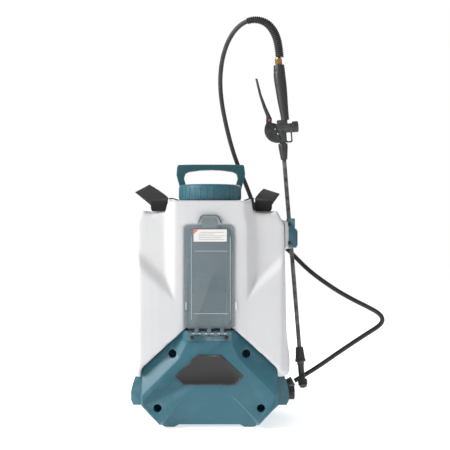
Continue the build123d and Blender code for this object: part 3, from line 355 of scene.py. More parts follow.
def finish_of(slot_name):
    """The material of a record slot, made the first time that it is asked for."""
    if slot_name in MADE:
        return MADE[slot_name]
    sizes = bpy.context.scene.sprayer_colors
    teal = tuple(sizes.teal)
    # deep is the teal darkened by about a third: painted shade on the handle, catch and hinge bracket
    deep = tuple(sizes.shaded_teal)
    makers = {
        "tank_shell": tank_material,
        "teal_plastic": lambda: moulded("teal moulded plastic", teal, 0.42, 0.07, 700.0, 0.12, 0.35, 0.04,
                                        0.0014),
        "dark_teal": lambda: moulded("shaded teal moulded plastic", deep, 0.4, 0.08, 700.0, 0.12, 0.35, 0.03,
                                     0.0012),
        "smoke_clear": lambda: see_through("smoke clear door", (0.20, 0.265, 0.29), 0.12, 0.42),
        "black_plastic": lambda: moulded("black moulded plastic", (0.017, 0.017, 0.018), 0.4, 0.08, 1100.0,
                                         0.15, 0.25, 0.02, 0.0006),
        "grip_plastic": lambda: moulded("grip plastic", (0.030, 0.030, 0.032), 0.42, 0.08, 1400.0, 0.22,
                                        0.3, 0.02, 0.0008),
        "rubber_black": lambda: moulded("black rubber", (0.014, 0.014, 0.014), 0.62, 0.1, 600.0, 0.25, 0.1,
                                        0.10, 0.0008),
        "hose_rubber": hose_material,
        "brass": lambda: metal("turned brass", (0.62, 0.38, 0.15), (0.30, 0.17, 0.07), 0.28),
        "steel": lambda: metal("bright steel", (0.60, 0.61, 0.62), (0.38, 0.38, 0.39), 0.26),
        "lance_coat": lambda: moulded("coated lance", (0.020, 0.020, 0.021), 0.3, 0.06, 1500.0, 0.06, 0.4,
                                      0.02, 0.0004, Coat_Weight=0.25, Coat_Roughness=0.2),
        "webbing": lambda: woven("strap webbing", (0.006, 0.006, 0.007), (0.030, 0.030, 0.032), 1.7),
        "label": lambda: moulded("printed label", (0.78, 0.77, 0.75), 0.35, 0.05, 300.0, 0.03, 0.1, 0.02,
                                 0.0002),
        "red_plastic": lambda: moulded("red plastic", (0.30, 0.025, 0.025), 0.42, 0.1, 900.0, 0.1, 0.2, 0.02,
                                       0.0005),
        "battery_grey": lambda: moulded("battery case plastic", (0.105, 0.112, 0.12), 0.42, 0.12, 900.0, 0.06,
                                        0.3, 0.03, 0.001),
        "white_plastic": lambda: moulded("white plastic", (0.80, 0.80, 0.79), 0.4, 0.05, 900.0, 0.1, 0.1,
                                         0.03, 0.0006),
        "board_green": lambda: moulded("circuit board", (0.02, 0.14, 0.06), 0.35, 0.3, 400.0, 0.1, 0.1,
                                       0.02, 0.0002),
        "clear_tube": lambda: see_through("clear tube", (0.80, 0.84, 0.82), 0.12, 0.35),
        "copper": lambda: metal("wound copper", (0.70, 0.33, 0.18), (0.35, 0.15, 0.08), 0.3),
    }
    MADE[slot_name] = makers[slot_name]()
    return MADE[slot_name]


# ---- mesh helpers -------------------------------------------------------------------------
def piece_from(name, mesh_work, slot_name, body, smooth=35.0, material=None):
    """Turns a bmesh into a finished piece of the model on a body, shaded smooth up to an angle."""
    mesh = bpy.data.meshes.new(name)
    mesh_work.to_mesh(mesh)
    mesh_work.free()
    return piece_of_mesh(name, mesh, slot_name, body, smooth, material)


def piece_of_mesh(name, mesh, slot_name, body, smooth=35.0, material=None):
    piece = bpy.data.objects.new(name, mesh)
    bpy.context.scene.collection.objects.link(piece)
    if not mesh.materials:
        mesh.materials.append(material or finish_of(slot_name))
    shade(mesh, smooth)
    if body:
        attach(piece, body)
    return piece


def shade(mesh, angle):
    mesh.shade_smooth()
    mesh.set_sharp_from_angle(angle=math.radians(angle))


def outward(mesh_work):
    bmesh.ops.remove_doubles(mesh_work, verts=mesh_work.verts, dist=1e-6)
    bmesh.ops.recalc_face_normals(mesh_work, faces=mesh_work.faces)
    return mesh_work


def merged_copy(node):
    """A CAD node's mesh as one joined skin, for a piece that starts from it."""
    mesh_work = bmesh.new()
    mesh_work.from_mesh(frame["nodes"][node].data)
    bmesh.ops.remove_doubles(mesh_work, verts=mesh_work.verts, dist=2e-5)
    return mesh_work


def modified(mesh, *steps):
    """Runs modifiers over a mesh and gives the plain result back."""
    holder = bpy.data.objects.new("work", mesh)
    bpy.context.scene.collection.objects.link(holder)
    for kind, values in steps:
        modifier = holder.modifiers.new(kind.lower(), kind)
        for name, value in values.items():
            setattr(modifier, name, value)
    bpy.context.view_layer.update()
    ready = holder.evaluated_get(bpy.context.evaluated_depsgraph_get())
    result = bpy.data.meshes.new_from_object(ready)
    bpy.data.objects.remove(holder)
    return result


def bevelled(node, name, slot_name, body, width, segments=2, extra=()):
    """Stands for a CAD node with its flat faces joined and its edges really rounded."""
    mesh_work = merged_copy(node)
    bmesh.ops.dissolve_limit(mesh_work, angle_limit=math.radians(1.0), verts=mesh_work.verts,
                             edges=mesh_work.edges)
    mesh = bpy.data.meshes.new(name)
    mesh_work.to_mesh(mesh)
    mesh_work.free()
    mesh = modified(mesh, ("BEVEL", dict(width=width, segments=segments, limit_method="ANGLE",
                                         angle_limit=math.radians(32), harden_normals=False,
                                         miter_outer="MITER_ARC")), *extra)
    mesh.materials.clear()
    piece = piece_of_mesh(name, mesh, slot_name, body, 40)
    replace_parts(piece, node)
    return piece


def lathe(profile, place, turns=48, mesh_work=None, closed=False):
    """Spins (radius, height) millimetres round Z and puts the result at a place."""
    work = mesh_work or bmesh.new()
    rings = []
    for radius, height in profile:
        if radius < 1e-6:
            rings.append([work.verts.new(place @ Vector((0, 0, height * MM)))])
            continue
        ring = []
        for k in range(turns):
            turn = 2 * math.pi * k / turns
            ring.append(work.verts.new(place @ Vector((radius * MM * math.cos(turn),
                                                       radius * MM * math.sin(turn), height * MM))))
        rings.append(ring)
    pairs = list(zip(rings, rings[1:])) + ([(rings[-1], rings[0])] if closed else [])
    for low, high in pairs:
        for k in range(turns):
            n = (k + 1) % turns
            if len(low) == 1 and len(high) == 1:
                continue
            if len(low) == 1:
                work.faces.new((low[0], high[k], high[n]))
            elif len(high) == 1:
                work.faces.new((low[k], low[n], high[0]))
            else:
                work.faces.new((low[k], low[n], high[n], high[k]))
    return work


def prism(outline, place, depth, mesh_work=None):
    """Closed block from (x, y) millimetres, standing from the place's XY plane up its Z."""
    work = mesh_work or bmesh.new()
    low = [work.verts.new(place @ Vector((x * MM, y * MM, 0))) for x, y in outline]
    high = [work.verts.new(place @ Vector((x * MM, y * MM, depth * MM))) for x, y in outline]
    work.faces.new(low[::-1])
    work.faces.new(high)
    count = len(outline)
    for k in range(count):
        n = (k + 1) % count
        work.faces.new((low[k], low[n], high[n], high[k]))
    return work


def facing(point, normal, up=(0, 0, 1)):
    """A place at a point whose Z looks along the normal and whose Y leans to up."""
    z = Vector(normal).normalized()
    x = Vector(up).cross(z).normalized()
    y = z.cross(x)
    turn = Matrix((x, y, z)).transposed().to_4x4()
    return Matrix.Translation(point) @ turn


def rounded(half_width, half_height, radius, steps=6):
    """Outline of a round-cornered rectangle about the origin, in millimetres."""
    points = []
    for cx, cy, start in ((1, 1, 0), (-1, 1, 90), (-1, -1, 180), (1, -1, 270)):
        for k in range(steps + 1):
            turn = math.radians(start + 90 * k / steps)
            points.append((cx * (half_width - radius) + radius * math.cos(turn),
                           cy * (half_height - radius) + radius * math.sin(turn)))
    return points


# ---- geometry node trees ------------------------------------------------------------------
def new_tree(name, inputs):
    """A geometry tree with named inputs; gives the tree, its group input and its output socket."""
    tree = bpy.data.node_groups.new(name, "GeometryNodeTree")
    tree.interface.new_socket(name="Geometry", in_out="INPUT", socket_type="NodeSocketGeometry")
    for label, kind, value in inputs:
        socket = tree.interface.new_socket(name=label, in_out="INPUT", socket_type=kind)
        if value is not None:
            socket.default_value = value
    tree.interface.new_socket(name="Geometry", in_out="OUTPUT", socket_type="NodeSocketGeometry")
    return tree, tree.nodes.new("NodeGroupInput").outputs, tree.nodes.new("NodeGroupOutput").inputs[0]


def run_tree(tree, mesh, values):
    """Runs a geometry tree over a mesh with its named inputs set, and gives the plain mesh."""
    holder = bpy.data.objects.new("work", mesh)
    bpy.context.scene.collection.objects.link(holder)
    modifier = holder.modifiers.new("tree", "NODES")
    modifier.node_group = tree
    for socket in tree.interface.items_tree:
        if socket.item_type == "SOCKET" and socket.in_out == "INPUT" and socket.name in values:
            modifier[socket.identifier] = values[socket.name]
    bpy.context.view_layer.update()
    ready = holder.evaluated_get(bpy.context.evaluated_depsgraph_get())
    result = bpy.data.meshes.new_from_object(ready)
    holder.modifiers.remove(modifier)
    bpy.data.objects.remove(holder)
    return result


def sleeve_tree():
    """A ribbed sleeve along a line: its radius swings between the roots and the crests."""
    name = "Ribbed Sleeve"
    if name in bpy.data.node_groups:
        return bpy.data.node_groups[name]
    tree, given, out = new_tree(name, [
        ("Root Radius", FLOAT, 0.0082), ("End Radius", FLOAT, 0.0058),
        ("Rib Height", FLOAT, 0.0014), ("Rib Pitch", FLOAT, 0.0042), ("Steps", "NodeSocketInt", 300),
        ("Material", "NodeSocketMaterial", None)])
    line = put(tree, "GeometryNodeMeshToCurve", Mesh=given["Geometry"]).outputs[0]
    even = put(tree, "GeometryNodeResampleCurve", Curve=line, Count=given["Steps"]).outputs[0]
    along = put(tree, "GeometryNodeSplineParameter").outputs
    run = along["Length"]
    swing = maths(tree, "COSINE", maths(tree, "MULTIPLY", maths(tree, "DIVIDE", run, given["Rib Pitch"]),
                                        2 * math.pi))
    crest = maths(tree, "SMOOTH_MAX", swing, -0.4)
    root = ranged(tree, along["Factor"], 0.45, 1.0, given["Root Radius"], given["End Radius"])
    radius = maths(tree, "ADD", root,
                   maths(tree, "MULTIPLY", given["Rib Height"], maths(tree, "MULTIPLY", crest, 0.8)))
    wide = put(tree, "GeometryNodeSetCurveRadius", Curve=even, Radius=radius).outputs[0]
    ring = put(tree, "GeometryNodeCurvePrimitiveCircle", Radius=1.0, Resolution=28).outputs[0]
    skin = sweep(tree, wide, ring, radius)
    whole = put(tree, "GeometryNodeRealizeInstances", Geometry=skin).outputs[0]
    finished = put(tree, "GeometryNodeSetMaterial", Geometry=whole, Material=given["Material"]).outputs[0]
    tree.links.new(finished, out)
    return tree


def sweep(tree, curve, profile, radius):
    node = tree.nodes.new("GeometryNodeCurveToMesh")
    tree.links.new(curve, node.inputs["Curve"])
    tree.links.new(profile, node.inputs["Profile Curve"])
    node.inputs["Fill Caps"].default_value = True
    if "Scale" in node.inputs:
        tree.links.new(radius, node.inputs["Scale"])
    return node.outputs[0]


def scatter_tree():
    """Copies one part onto every point, turned to look along the point's own direction."""
    name = "Set Out Copies"
    if name in bpy.data.node_groups:
        return bpy.data.node_groups[name]
    tree, given, out = new_tree(name, [
        ("Part", "NodeSocketObject", None), ("Size", FLOAT, 1.0), ("Material", "NodeSocketMaterial", None)])
    part = put(tree, "GeometryNodeObjectInfo", Object=given["Part"]).outputs["Geometry"]
    looks, runs = (put(tree, "GeometryNodeInputNamedAttribute", set_data_type="FLOAT_VECTOR",
                       Name=label).outputs[0] for label in ("looks", "runs"))
    turn = put(tree, "FunctionNodeAxesToRotation", set_primary_axis="Z", set_secondary_axis="X",
               Primary_Axis=looks, Secondary_Axis=runs).outputs[0]
    copies = put(tree, "GeometryNodeInstanceOnPoints", Points=given["Geometry"], Instance=part,
                 Rotation=turn, Scale=put(tree, "ShaderNodeCombineXYZ", X=given["Size"], Y=given["Size"],
                                          Z=given["Size"]).outputs[0]).outputs[0]
    whole = put(tree, "GeometryNodeRealizeInstances", Geometry=copies).outputs[0]
    finished = put(tree, "GeometryNodeSetMaterial", Geometry=whole, Material=given["Material"]).outputs[0]
    tree.links.new(finished, out)
    return tree


def set_out(name, part_work, spots, slot_name, body, smooth=35.0):
    """One mesh of copies of a small part; each spot is (point, looks along, runs along)."""
    part_mesh = bpy.data.meshes.new("part")
    part_work.to_mesh(part_mesh)
    part_work.free()
    part = bpy.data.objects.new("part", part_mesh)
    bpy.context.scene.collection.objects.link(part)
    mesh = bpy.data.meshes.new(name)
    mesh.from_pydata([s[0] for s in spots], [], [])
    for label, which in (("looks", 1), ("runs", 2)):
        attribute = mesh.attributes.new(label, "FLOAT_VECTOR", "POINT")
        attribute.data.foreach_set("vector", [c for s in spots for c in Vector(s[which]).normalized()])
    finish = finish_of(slot_name)
    made = run_tree(scatter_tree(), mesh, {"Part": part, "Size": 1.0, "Material": finish})
    bpy.data.objects.remove(part)
    for attribute in [a.name for a in made.attributes if a.name in ("looks", "runs")]:
        made.attributes.remove(made.attributes[attribute])
    return piece_of_mesh(name, made, slot_name, body, smooth)


# ---- settings -----------------------------------------------------------------------------
class SprayerColors(bpy.types.PropertyGroup):
    """Colours of the moulded parts"""
    teal: bpy.props.FloatVectorProperty(
        name="Teal", description="Plastic of the base, cap and clip", subtype="COLOR", size=3,
        default=(0.026, 0.128, 0.172), min=0, max=1)
    # the teal darkened by about a third: painted shade on the handle, catch and hinge bracket
    shaded_teal: bpy.props.FloatVectorProperty(
        name="Shaded Teal", description="Plastic of the handle, catch and hinge bracket", subtype="COLOR",
        size=3, default=(0.018, 0.092, 0.118), min=0, max=1)


class SprayerSizes(bpy.types.PropertyGroup):
    """Sizes of the details that the frame doesn't hold"""
    hose_diameter: bpy.props.FloatProperty(
        name="Hose Diameter", description="Outside of the spray hose", default=0.010, unit="LENGTH")
    hose_length: bpy.props.FloatProperty(
        name="Hose Length", description="From the gun's fitting to the base outlet", default=1.24,
        unit="LENGTH")
    sleeve_length: bpy.props.FloatProperty(
        name="Bend Sleeve Length", description="Ribbed sleeve on the hose at the gun", default=0.127,
        unit="LENGTH")
    sleeve_pitch: bpy.props.FloatProperty(
        name="Sleeve Rib Pitch", description="From one rib of the sleeve to the next", default=0.0042,
        unit="LENGTH")
    cap_ribs: bpy.props.IntProperty(
        name="Cap Ribs", description="Grip ribs round the filler cap", default=32, min=8, max=96)
    stitch_pitch: bpy.props.FloatProperty(
        name="Stitch Pitch", description="From one stitch to the next on the straps", default=0.0034,
        unit="LENGTH")
    tank_softness: bpy.props.FloatProperty(
        name="Tank Voxel", description="Size of the steps in which the tank's skin is rounded off",
        default=0.0036, unit="LENGTH")


# ---- stage --------------------------------------------------------------------------------
class SPRAYER_OT_stage(bpy.types.Operator):
    """Sets up the camera, the soft lights and the pale floor"""
    bl_idname = "sprayer.stage"
    bl_label = "Stage"

    def execute(self, context):
        scene = context.scene
        scene.view_settings.view_transform = "Standard"
        camera = bpy.data.cameras.new("camera")
        camera.lens, camera.sensor_width = 66.4, 36.0
        camera.clip_end = 50
        holder = bpy.data.objects.new("camera", camera)
        holder.location = at(29, -1805, 420)
        holder.rotation_euler = (math.radians(90), 0, 0)
        scene.collection.objects.link(holder)
        scene.camera = holder
        for name, place, size, power in (("key light", (-1.9, -0.8, 1.5), 1.1, 52),
                                         ("fill light", (1.9, -2.2, 1.0), 1.6, 2),
                                         ("back light", (0.6, 2.0, 1.7), 1.5, 14)):
            lamp = bpy.data.lights.new(name, "AREA")
            lamp.size, lamp.energy = size, power
            light = bpy.data.objects.new(name, lamp)
            light.location = place
            aim = Vector((0, 0, 0.35)) - Vector(place)
            light.rotation_euler = aim.to_track_quat("-Z", "Y").to_euler()
            scene.collection.objects.link(light)
        world = bpy.data.worlds.new("studio")
        world.use_nodes = True
        tree = world.node_tree
        ground = tree.nodes["Background"]
        ground.inputs[0].default_value = (1, 1, 1, 1)
        seen = put(tree, "ShaderNodeLightPath").outputs["Is Camera Ray"]
        tree.links.new(ranged(tree, seen, 0, 1, 0.40, 1.0), ground.inputs[1])
        scene.world = world
        work = bmesh.new()
        bmesh.ops.create_grid(work, x_segments=8, y_segments=8, size=6)
        bmesh.ops.translate(work, verts=work.verts, vec=(0, 3.0, 0))
        mesh = bpy.data.meshes.new("floor")
        work.to_mesh(mesh)
        work.free()
        material, floor_tree, shader = new_material("pale floor")
        place = put(floor_tree, "ShaderNodeTexCoord").outputs["Object"]
        cloud = put(floor_tree, "ShaderNodeTexNoise", Vector=place, Scale=3.0).outputs[0]
        floor_tree.links.new(blended(floor_tree, cloud, (0.93, 0.93, 0.93, 1), (0.96, 0.96, 0.96, 1)),
                             shader.inputs["Base Color"])
        settle(shader, Roughness=0.8, Specular_IOR_Level=0.1, Emission_Color=(1, 1, 1, 1),
               Emission_Strength=0.62)
        mesh.materials.append(material)
        floor = bpy.data.objects.new("floor", mesh)
        scene.collection.objects.link(floor)
        return {"FINISHED"}


# ---- hose ---------------------------------------------------------------------------------
def hose_line():
    """Points along the hose's smooth line, read from a spline through its route."""
    curve = bpy.data.curves.new("hose line", "CURVE")
    curve.dimensions = "3D"
    curve.resolution_u = 16
    spline = curve.splines.new("NURBS")
    spline.points.add(len(HOSE_ROUTE) - 1)
    for point, (x, y, z) in zip(spline.points, HOSE_ROUTE):
        point.co = (*at(x, y, z), 1)
    spline.order_u = 3
    spline.use_endpoint_u = True
    holder = bpy.data.objects.new("hose line", curve)
    mesh = bpy.data.meshes.new_from_object(holder)
    line = [v.co.copy() for v in mesh.vertices]
    bpy.data.objects.remove(holder)
    bpy.data.meshes.remove(mesh)
    return line


def first_stretch(line, length):
    """The part of a line within a length of its start."""
    kept, run = [line[0]], 0.0
    for a, b in zip(line, line[1:]):
        step = (b - a).length
        if run + step >= length:
            kept.append(a.lerp(b, (length - run) / step))
            break
        kept.append(b)
        run += step
    return kept


def tube(line, radius, sides=20):
    """Closed tube along a line, with U round it and V along it in millimetres on its UV map."""
    work = bmesh.new()
    layer = work.loops.layers.uv.new("UVMap")
    side = Vector((0, 1, 0))
    rings, runs, run = [], [], 0.0
    for k, point in enumerate(line):
        ahead = line[min(k + 1, len(line) - 1)] - line[max(k - 1, 0)]
        ahead.normalize()
        side = (side - ahead * side.dot(ahead)).normalized()
        other = ahead.cross(side)
        if k:
            run += (point - line[k - 1]).length
        runs.append(run / MM)
        rings.append([work.verts.new(point + radius * (side * math.cos(2 * math.pi * s / sides)
                                                       + other * math.sin(2 * math.pi * s / sides)))
                      for s in range(sides)])
    girth = 2 * math.pi * radius / MM
    for k in range(len(rings) - 1):
        for s in range(sides):
            n = (s + 1) % sides
            face = work.faces.new((rings[k][s], rings[k][n], rings[k + 1][n], rings[k + 1][s]))
            for loop, (u, v) in zip(face.loops, ((s, k), (s + 1, k), (s + 1, k + 1), (s, k + 1))):
                loop[layer].uv = (girth * u / sides, runs[v])
    work.faces.new(rings[0][::-1])
    work.faces.new(rings[-1])
    return work


class SPRAYER_OT_hose(bpy.types.Operator):
    """Lays the spray hose from the gun round to the base outlet, with its ribbed bend sleeve"""
    bl_idname = "sprayer.hose"
    bl_label = "Hose"

    def execute(self, context):
        sizes = context.scene.sprayer_sizes
        line = hose_line()
        hose = piece_from("spray_hose", tube(line, sizes.hose_diameter / 2), "hose_rubber", None, 60)
        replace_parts(hose, "hose_upper", "hose_lower")
        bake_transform(hose, "root", "wand", at(0, 40, 575), at(0, 40, 780))
        stretch = first_stretch(line, sizes.sleeve_length)
        path = bpy.data.meshes.new("sleeve path")
        path.from_pydata(stretch, [(k, k + 1) for k in range(len(stretch) - 1)], [])
        skin = run_tree(sleeve_tree(), path,
                        {"Root Radius": 0.0084, "End Radius": 0.0062, "Rib Height": 0.0015,
                         "Rib Pitch": sizes.sleeve_pitch, "Steps": 360,
                         "Material": finish_of("rubber_black")})
        sleeve = piece_of_mesh("ribbed_bend_sleeve", skin, "rubber_black", "wand", 60)
        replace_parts(sleeve, "bend_sleeve")
        return {"FINISHED"}


# ---- tank ---------------------------------------------------------------------------------
# The raised middle, and the raised band along the base's slanting edge, in millimetres.
MIDDLE_HALF, PANEL_SLOPE, PANEL_DROP = 72, 20, 14
BASE_TOP = (52, 203)
BASE_EDGE_NORMAL = (-0.683, 0.732)
BAND_WIDTH = 27
BAND_LEVEL = -100
PANEL_FOOT, PANEL_TOP, PANEL_SIDE = 106, 445, 168


def eased(value):
    """Smooth step from 0 to 1."""
    value = min(1.0, max(0.0, value))
    return value * value * (3 - 2 * value)


def panel_depth(x, z):
    """How far back a spot of the tank's front panel stands, 0 on the raised band to 1 on the panel."""
    across = (abs(x) - MIDDLE_HALF) / PANEL_SLOPE
    off_edge = (abs(x) - BASE_TOP[0]) * BASE_EDGE_NORMAL[0] + (z - BASE_TOP[1]) * BASE_EDGE_NORMAL[1]
    return min(eased(across), eased((off_edge - BAND_WIDTH) / BAND_WIDTH))


def drop_hollow(work):
    """Removes the faces that are shut in on all six sides, which are the wall of the tank's hollow."""
    shell = BVHTree.FromBMesh(work)
    ways = [Vector(way) for way in ((1, 0, 0), (-1, 0, 0), (0, 1, 0), (0, -1, 0), (0, 0, 1), (0, 0, -1))]
    axis = centre_of("filler_cap")
    work.normal_update()
    inner = []
    for face in work.faces:
        spot = face.calc_center_median() + face.normal * 1e-4
        shut = 0
        for way in ways:
            met = shell.ray_cast(spot, way)[0] is not None
            through_neck = way.z > 0 and (spot.xy - axis.xy).length < 0.052 and spot.z < 0.468
            shut += met or through_neck
        if shut == 6:
            inner.append(face)
    bmesh.ops.delete(work, geom=inner, context="FACES")


class SPRAYER_OT_tank(bpy.types.Operator):
    """Makes the milky tank with its soft corners, raised middle and raised lower band"""
    bl_idname = "sprayer.tank"
    bl_label = "Tank"

    def execute(self, context):
        work = merged_copy("tank")
        drop_hollow(work)
        # every hole is shut while the skin is rounded off, and the deck's is opened again
        axis = centre_of("filler_cap")
        bmesh.ops.holes_fill(work, edges=[edge for edge in work.edges if edge.is_boundary], sides=0)
        bmesh.ops.triangulate(work, faces=work.faces)
        bmesh.ops.recalc_face_normals(work, faces=work.faces)
        mesh = bpy.data.meshes.new("tank skin")
        work.to_mesh(mesh)
        work.free()
        mesh = modified(
            mesh,
            ("REMESH", dict(mode="VOXEL", voxel_size=context.scene.sprayer_sizes.tank_softness)),
            ("SMOOTH", dict(factor=0.5, iterations=7)))
        skin = bmesh.new()
        skin.from_mesh(mesh)
        skin.normal_update()
        for vertex in skin.verts:
            x, y, z = ((vertex.co.x - TANK_LINE.x) / MM, (vertex.co.y - TANK_LINE.y) / MM, vertex.co.z / MM)
            if y > -45 or vertex.normal.y > -0.35 or z > 440 or abs(x) < 66:
                continue
            level = BAND_LEVEL + PANEL_DROP * panel_depth(x, z)
            reach = (eased((PANEL_SIDE - abs(x)) / 24) * eased((z - PANEL_FOOT) / 12)
                     * eased((PANEL_TOP - z) / 25))
            if y > level:
                vertex.co.y += (level - y) * MM * reach
        top = [f for f in skin.faces if f.normal.z > 0.5 and f.calc_center_median().z > 0.468
               and (f.calc_center_median().xy - axis.xy).length < 0.0505]
        bmesh.ops.delete(skin, geom=top, context="FACES")
        mesh = bpy.data.meshes.new("tank_body")
        skin.to_mesh(mesh)
        skin.free()
        mesh = modified(mesh, ("SMOOTH", dict(factor=0.5, iterations=5)),
                        ("SOLIDIFY", dict(thickness=0.0025, offset=-1.0, use_rim=True)))
        mesh.materials.clear()
        tank = piece_of_mesh("tank_body", mesh, "tank_shell", "root", 60)
        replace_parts(tank, "tank")
        return {"FINISHED"}


# ---- base ---------------------------------------------------------------------------------
class SPRAYER_OT_base(bpy.types.Operator):
    """Makes the two shells of the pump base and the carry handle with rounded edges"""
    bl_idname = "sprayer.base"
    bl_label = "Pump Base"

    def execute(self, context):
        bevelled("base_front_shell", "pump_base_front", "teal_plastic", "root", 0.0016)
        bevelled("base_rear_shell", "pump_base_rear", "teal_plastic", "root", 0.0016)
        # the handle's ring is rounded off as one skin
        ring = bpy.data.meshes.new("handle ring")
        work = merged_copy("carry_handle")
        work.to_mesh(ring)
        work.free()
        ring = modified(ring, ("REMESH", dict(mode="VOXEL", voxel_size=0.0014)),
                        ("SMOOTH", dict(factor=0.5, iterations=5)))
        ring.materials.clear()
        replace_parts(piece_of_mesh("carry_grip", ring, "dark_teal", "root", 60), "carry_handle")
        return {"FINISHED"}


# ---- screws -------------------------------------------------------------------------------
def screw_head(radius, height):
    """Domed screw head with a cross recess, standing on its seat and looking up."""
    work = lathe([(radius, 0), (radius, height * 0.45), (radius * 0.86, height * 0.82),
                  (radius * 0.55, height)], Matrix.Identity(4), 24)
    rim = [v for v in work.verts if v.co.z > height * MM * 0.99]
    rim.sort(key=lambda v: math.atan2(v.co.y, v.co.x))
    # the recess: inner ring that goes in between four arms
    inner = []
    for k, vertex in enumerate(rim):
        turn = math.atan2(vertex.co.y, vertex.co.x)
        arm = abs(math.cos(2 * turn)) > 0.8
        reach = radius * MM * (0.5 if arm else 0.2)
        inner.append(work.verts.new((reach * math.cos(turn), reach * math.sin(turn), height * MM)))
    floor = [work.verts.new((v.co.x * 0.7, v.co.y * 0.7, height * MM * 0.35)) for v in inner]
    count = len(rim)
    for k in range(count):
        n = (k + 1) % count
        work.faces.new((rim[k], rim[n], inner[n], inner[k]))
        work.faces.new((inner[k], inner[n], floor[n], floor[k]))
    work.faces.new(floor)
    base = [v for v in work.verts if abs(v.co.z) < 1e-7]
    base.sort(key=lambda v: -math.atan2(v.co.y, v.co.x))
    work.faces.new(base)
    return outward(work)


def parts_of(node):
    """Centres and boxes of a CAD node's separate solids."""
    work = merged_copy(node)
    left, found = set(work.verts), []
    while left:
        group, edge = set(), [left.pop()]
        while edge:
            vertex = edge.pop()
            group.add(vertex)
            for link in vertex.link_edges:
                other = link.other_vert(vertex)
                if other in left:
                    left.remove(other)
                    edge.append(other)
        low = Vector(tuple(min(v.co[k] for v in group) for k in range(3)))
        high = Vector(tuple(max(v.co[k] for v in group) for k in range(3)))
        found.append((low, high))
    work.free()
    return found


class SPRAYER_OT_screws(bpy.types.Operator):
    """Sets out the screws that show: in the base's pockets, the hinge bracket and the wand clip"""
    bl_idname = "sprayer.screws"
    bl_label = "Screws"

    def execute(self, context):
        for node, radius, height in (("front_screws", 4.6, 2.4), ("hinge_screws", 4.2, 2.2),
                                     ("clip_screws", 4.4, 2.4)):
            spots = []
            shanks = bmesh.new()
            for low, high in parts_of(node):
                middle = (low + high) / 2
                face = Vector((middle.x, low.y, middle.z))
                spots.append((face + Vector((0, height * MM, 0)), (0, -1, 0),
                              (math.cos(0.5), 0, math.sin(0.5))))
                length = (high.y - low.y) / MM - height
                lathe([(0, 0), (2.0, 0), (2.0, length), (0, length)],
                      facing(face + Vector((0, height * MM, 0)), (0, 1, 0)), 12, shanks)
            heads = set_out(node + "_heads", screw_head(radius, height), spots, "black_plastic", "root")
            stems = piece_from(node + "_shanks", outward(shanks), "steel", "root")
            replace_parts(heads, node)
            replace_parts(stems, node)
        return {"FINISHED"}


# ---- cap ----------------------------------------------------------------------------------
class SPRAYER_OT_cap(bpy.types.Operator):
    """Makes the screw lid with its grip ribs and the step in its top"""
    bl_idname = "sprayer.cap"
    bl_label = "Filler Cap"

    def execute(self, context):
        low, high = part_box("filler_cap")
        axis = centre_of("filler_cap")
        bevelled("filler_cap", "cap_drum", "teal_plastic", "filler_cap", 0.0012, 3)
        radius = (high.x - low.x) / 2
        tall = high.z - low.z
        ribs = context.scene.sprayer_sizes.cap_ribs
        rib = prism(rounded(1.5, (tall / MM - 9) / 2, 1.4, 4), Matrix.Identity(4), 1.1)
        bmesh.ops.bevel(rib, geom=[e for e in rib.edges if all(v.co.z > 0.0005 for v in e.verts)],
                        offset=0.0005, segments=2, affect="EDGES")
        spots = []
        for k in range(ribs):
            turn = 2 * math.pi * (k + 0.5) / ribs
            out = Vector((math.cos(turn), math.sin(turn), 0))
            spots.append((Vector((axis.x, axis.y, (low.z + high.z) / 2 - 0.0005)) + out * (radius - 0.0005),
                          out, out.cross(Vector((0, 0, -1)))))
        set_out("cap_grip_ribs", rib, spots, "teal_plastic", "filler_cap")
        return {"FINISHED"}


# ---- badge, label and door ----------------------------------------------------------------
class SPRAYER_OT_label(bpy.types.Operator):
    """Makes the door's plain sticker with a coral corner and grey bars, and the dark badge"""
    bl_idname = "sprayer.label"
    bl_label = "Sticker And Badge"

    def execute(self, context):
        low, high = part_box("door_label")
        middle = (low + high) / 2
        half_x, half_z = (high.x - low.x) / 2 / MM, (high.z - low.z) / 2 / MM
        place = facing((middle.x, high.y, middle.z), (0, -1, 0))
        paper = prism(rounded(half_x, half_z, 1.5), place, 0.3)
        sheet = piece_from("door_sticker", outward(paper), "label", "door")
        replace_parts(sheet, "door_label")
        corner = prism([(-half_x + 0.3, half_z - 0.3), (-half_x + 0.3, half_z - 10),
                        (-half_x + 10, half_z - 0.3)], place, 0.36)
        coral = moulded("coral print", (0.80, 0.13, 0.10), 0.35, 0.1, 300.0, 0.03, 0.1, 0.02, 0.0002)
        piece_from("sticker_corner", outward(corner), "red_plastic", "door", material=coral)
        bars = bmesh.new()
        for row, (left, right) in enumerate(((-20, 28), (-24, 8), (-24, 30), (-24, 22), (-24, 29))):
            z = half_z - 6.0 - 3.6 * row
            prism([(left, z - 0.6), (right, z - 0.6), (right, z + 0.6), (left, z + 0.6)], place, 0.34, bars)
        grey = moulded("grey print", (0.42, 0.42, 0.44), 0.4, 0.1, 300.0, 0.03, 0.1, 0.02, 0.0002)
        piece_from("sticker_bars", outward(bars), "label", "door", material=grey)
        bevelled("badge_plate", "badge", "black_plastic", "root", 0.0005)
        return {"FINISHED"}


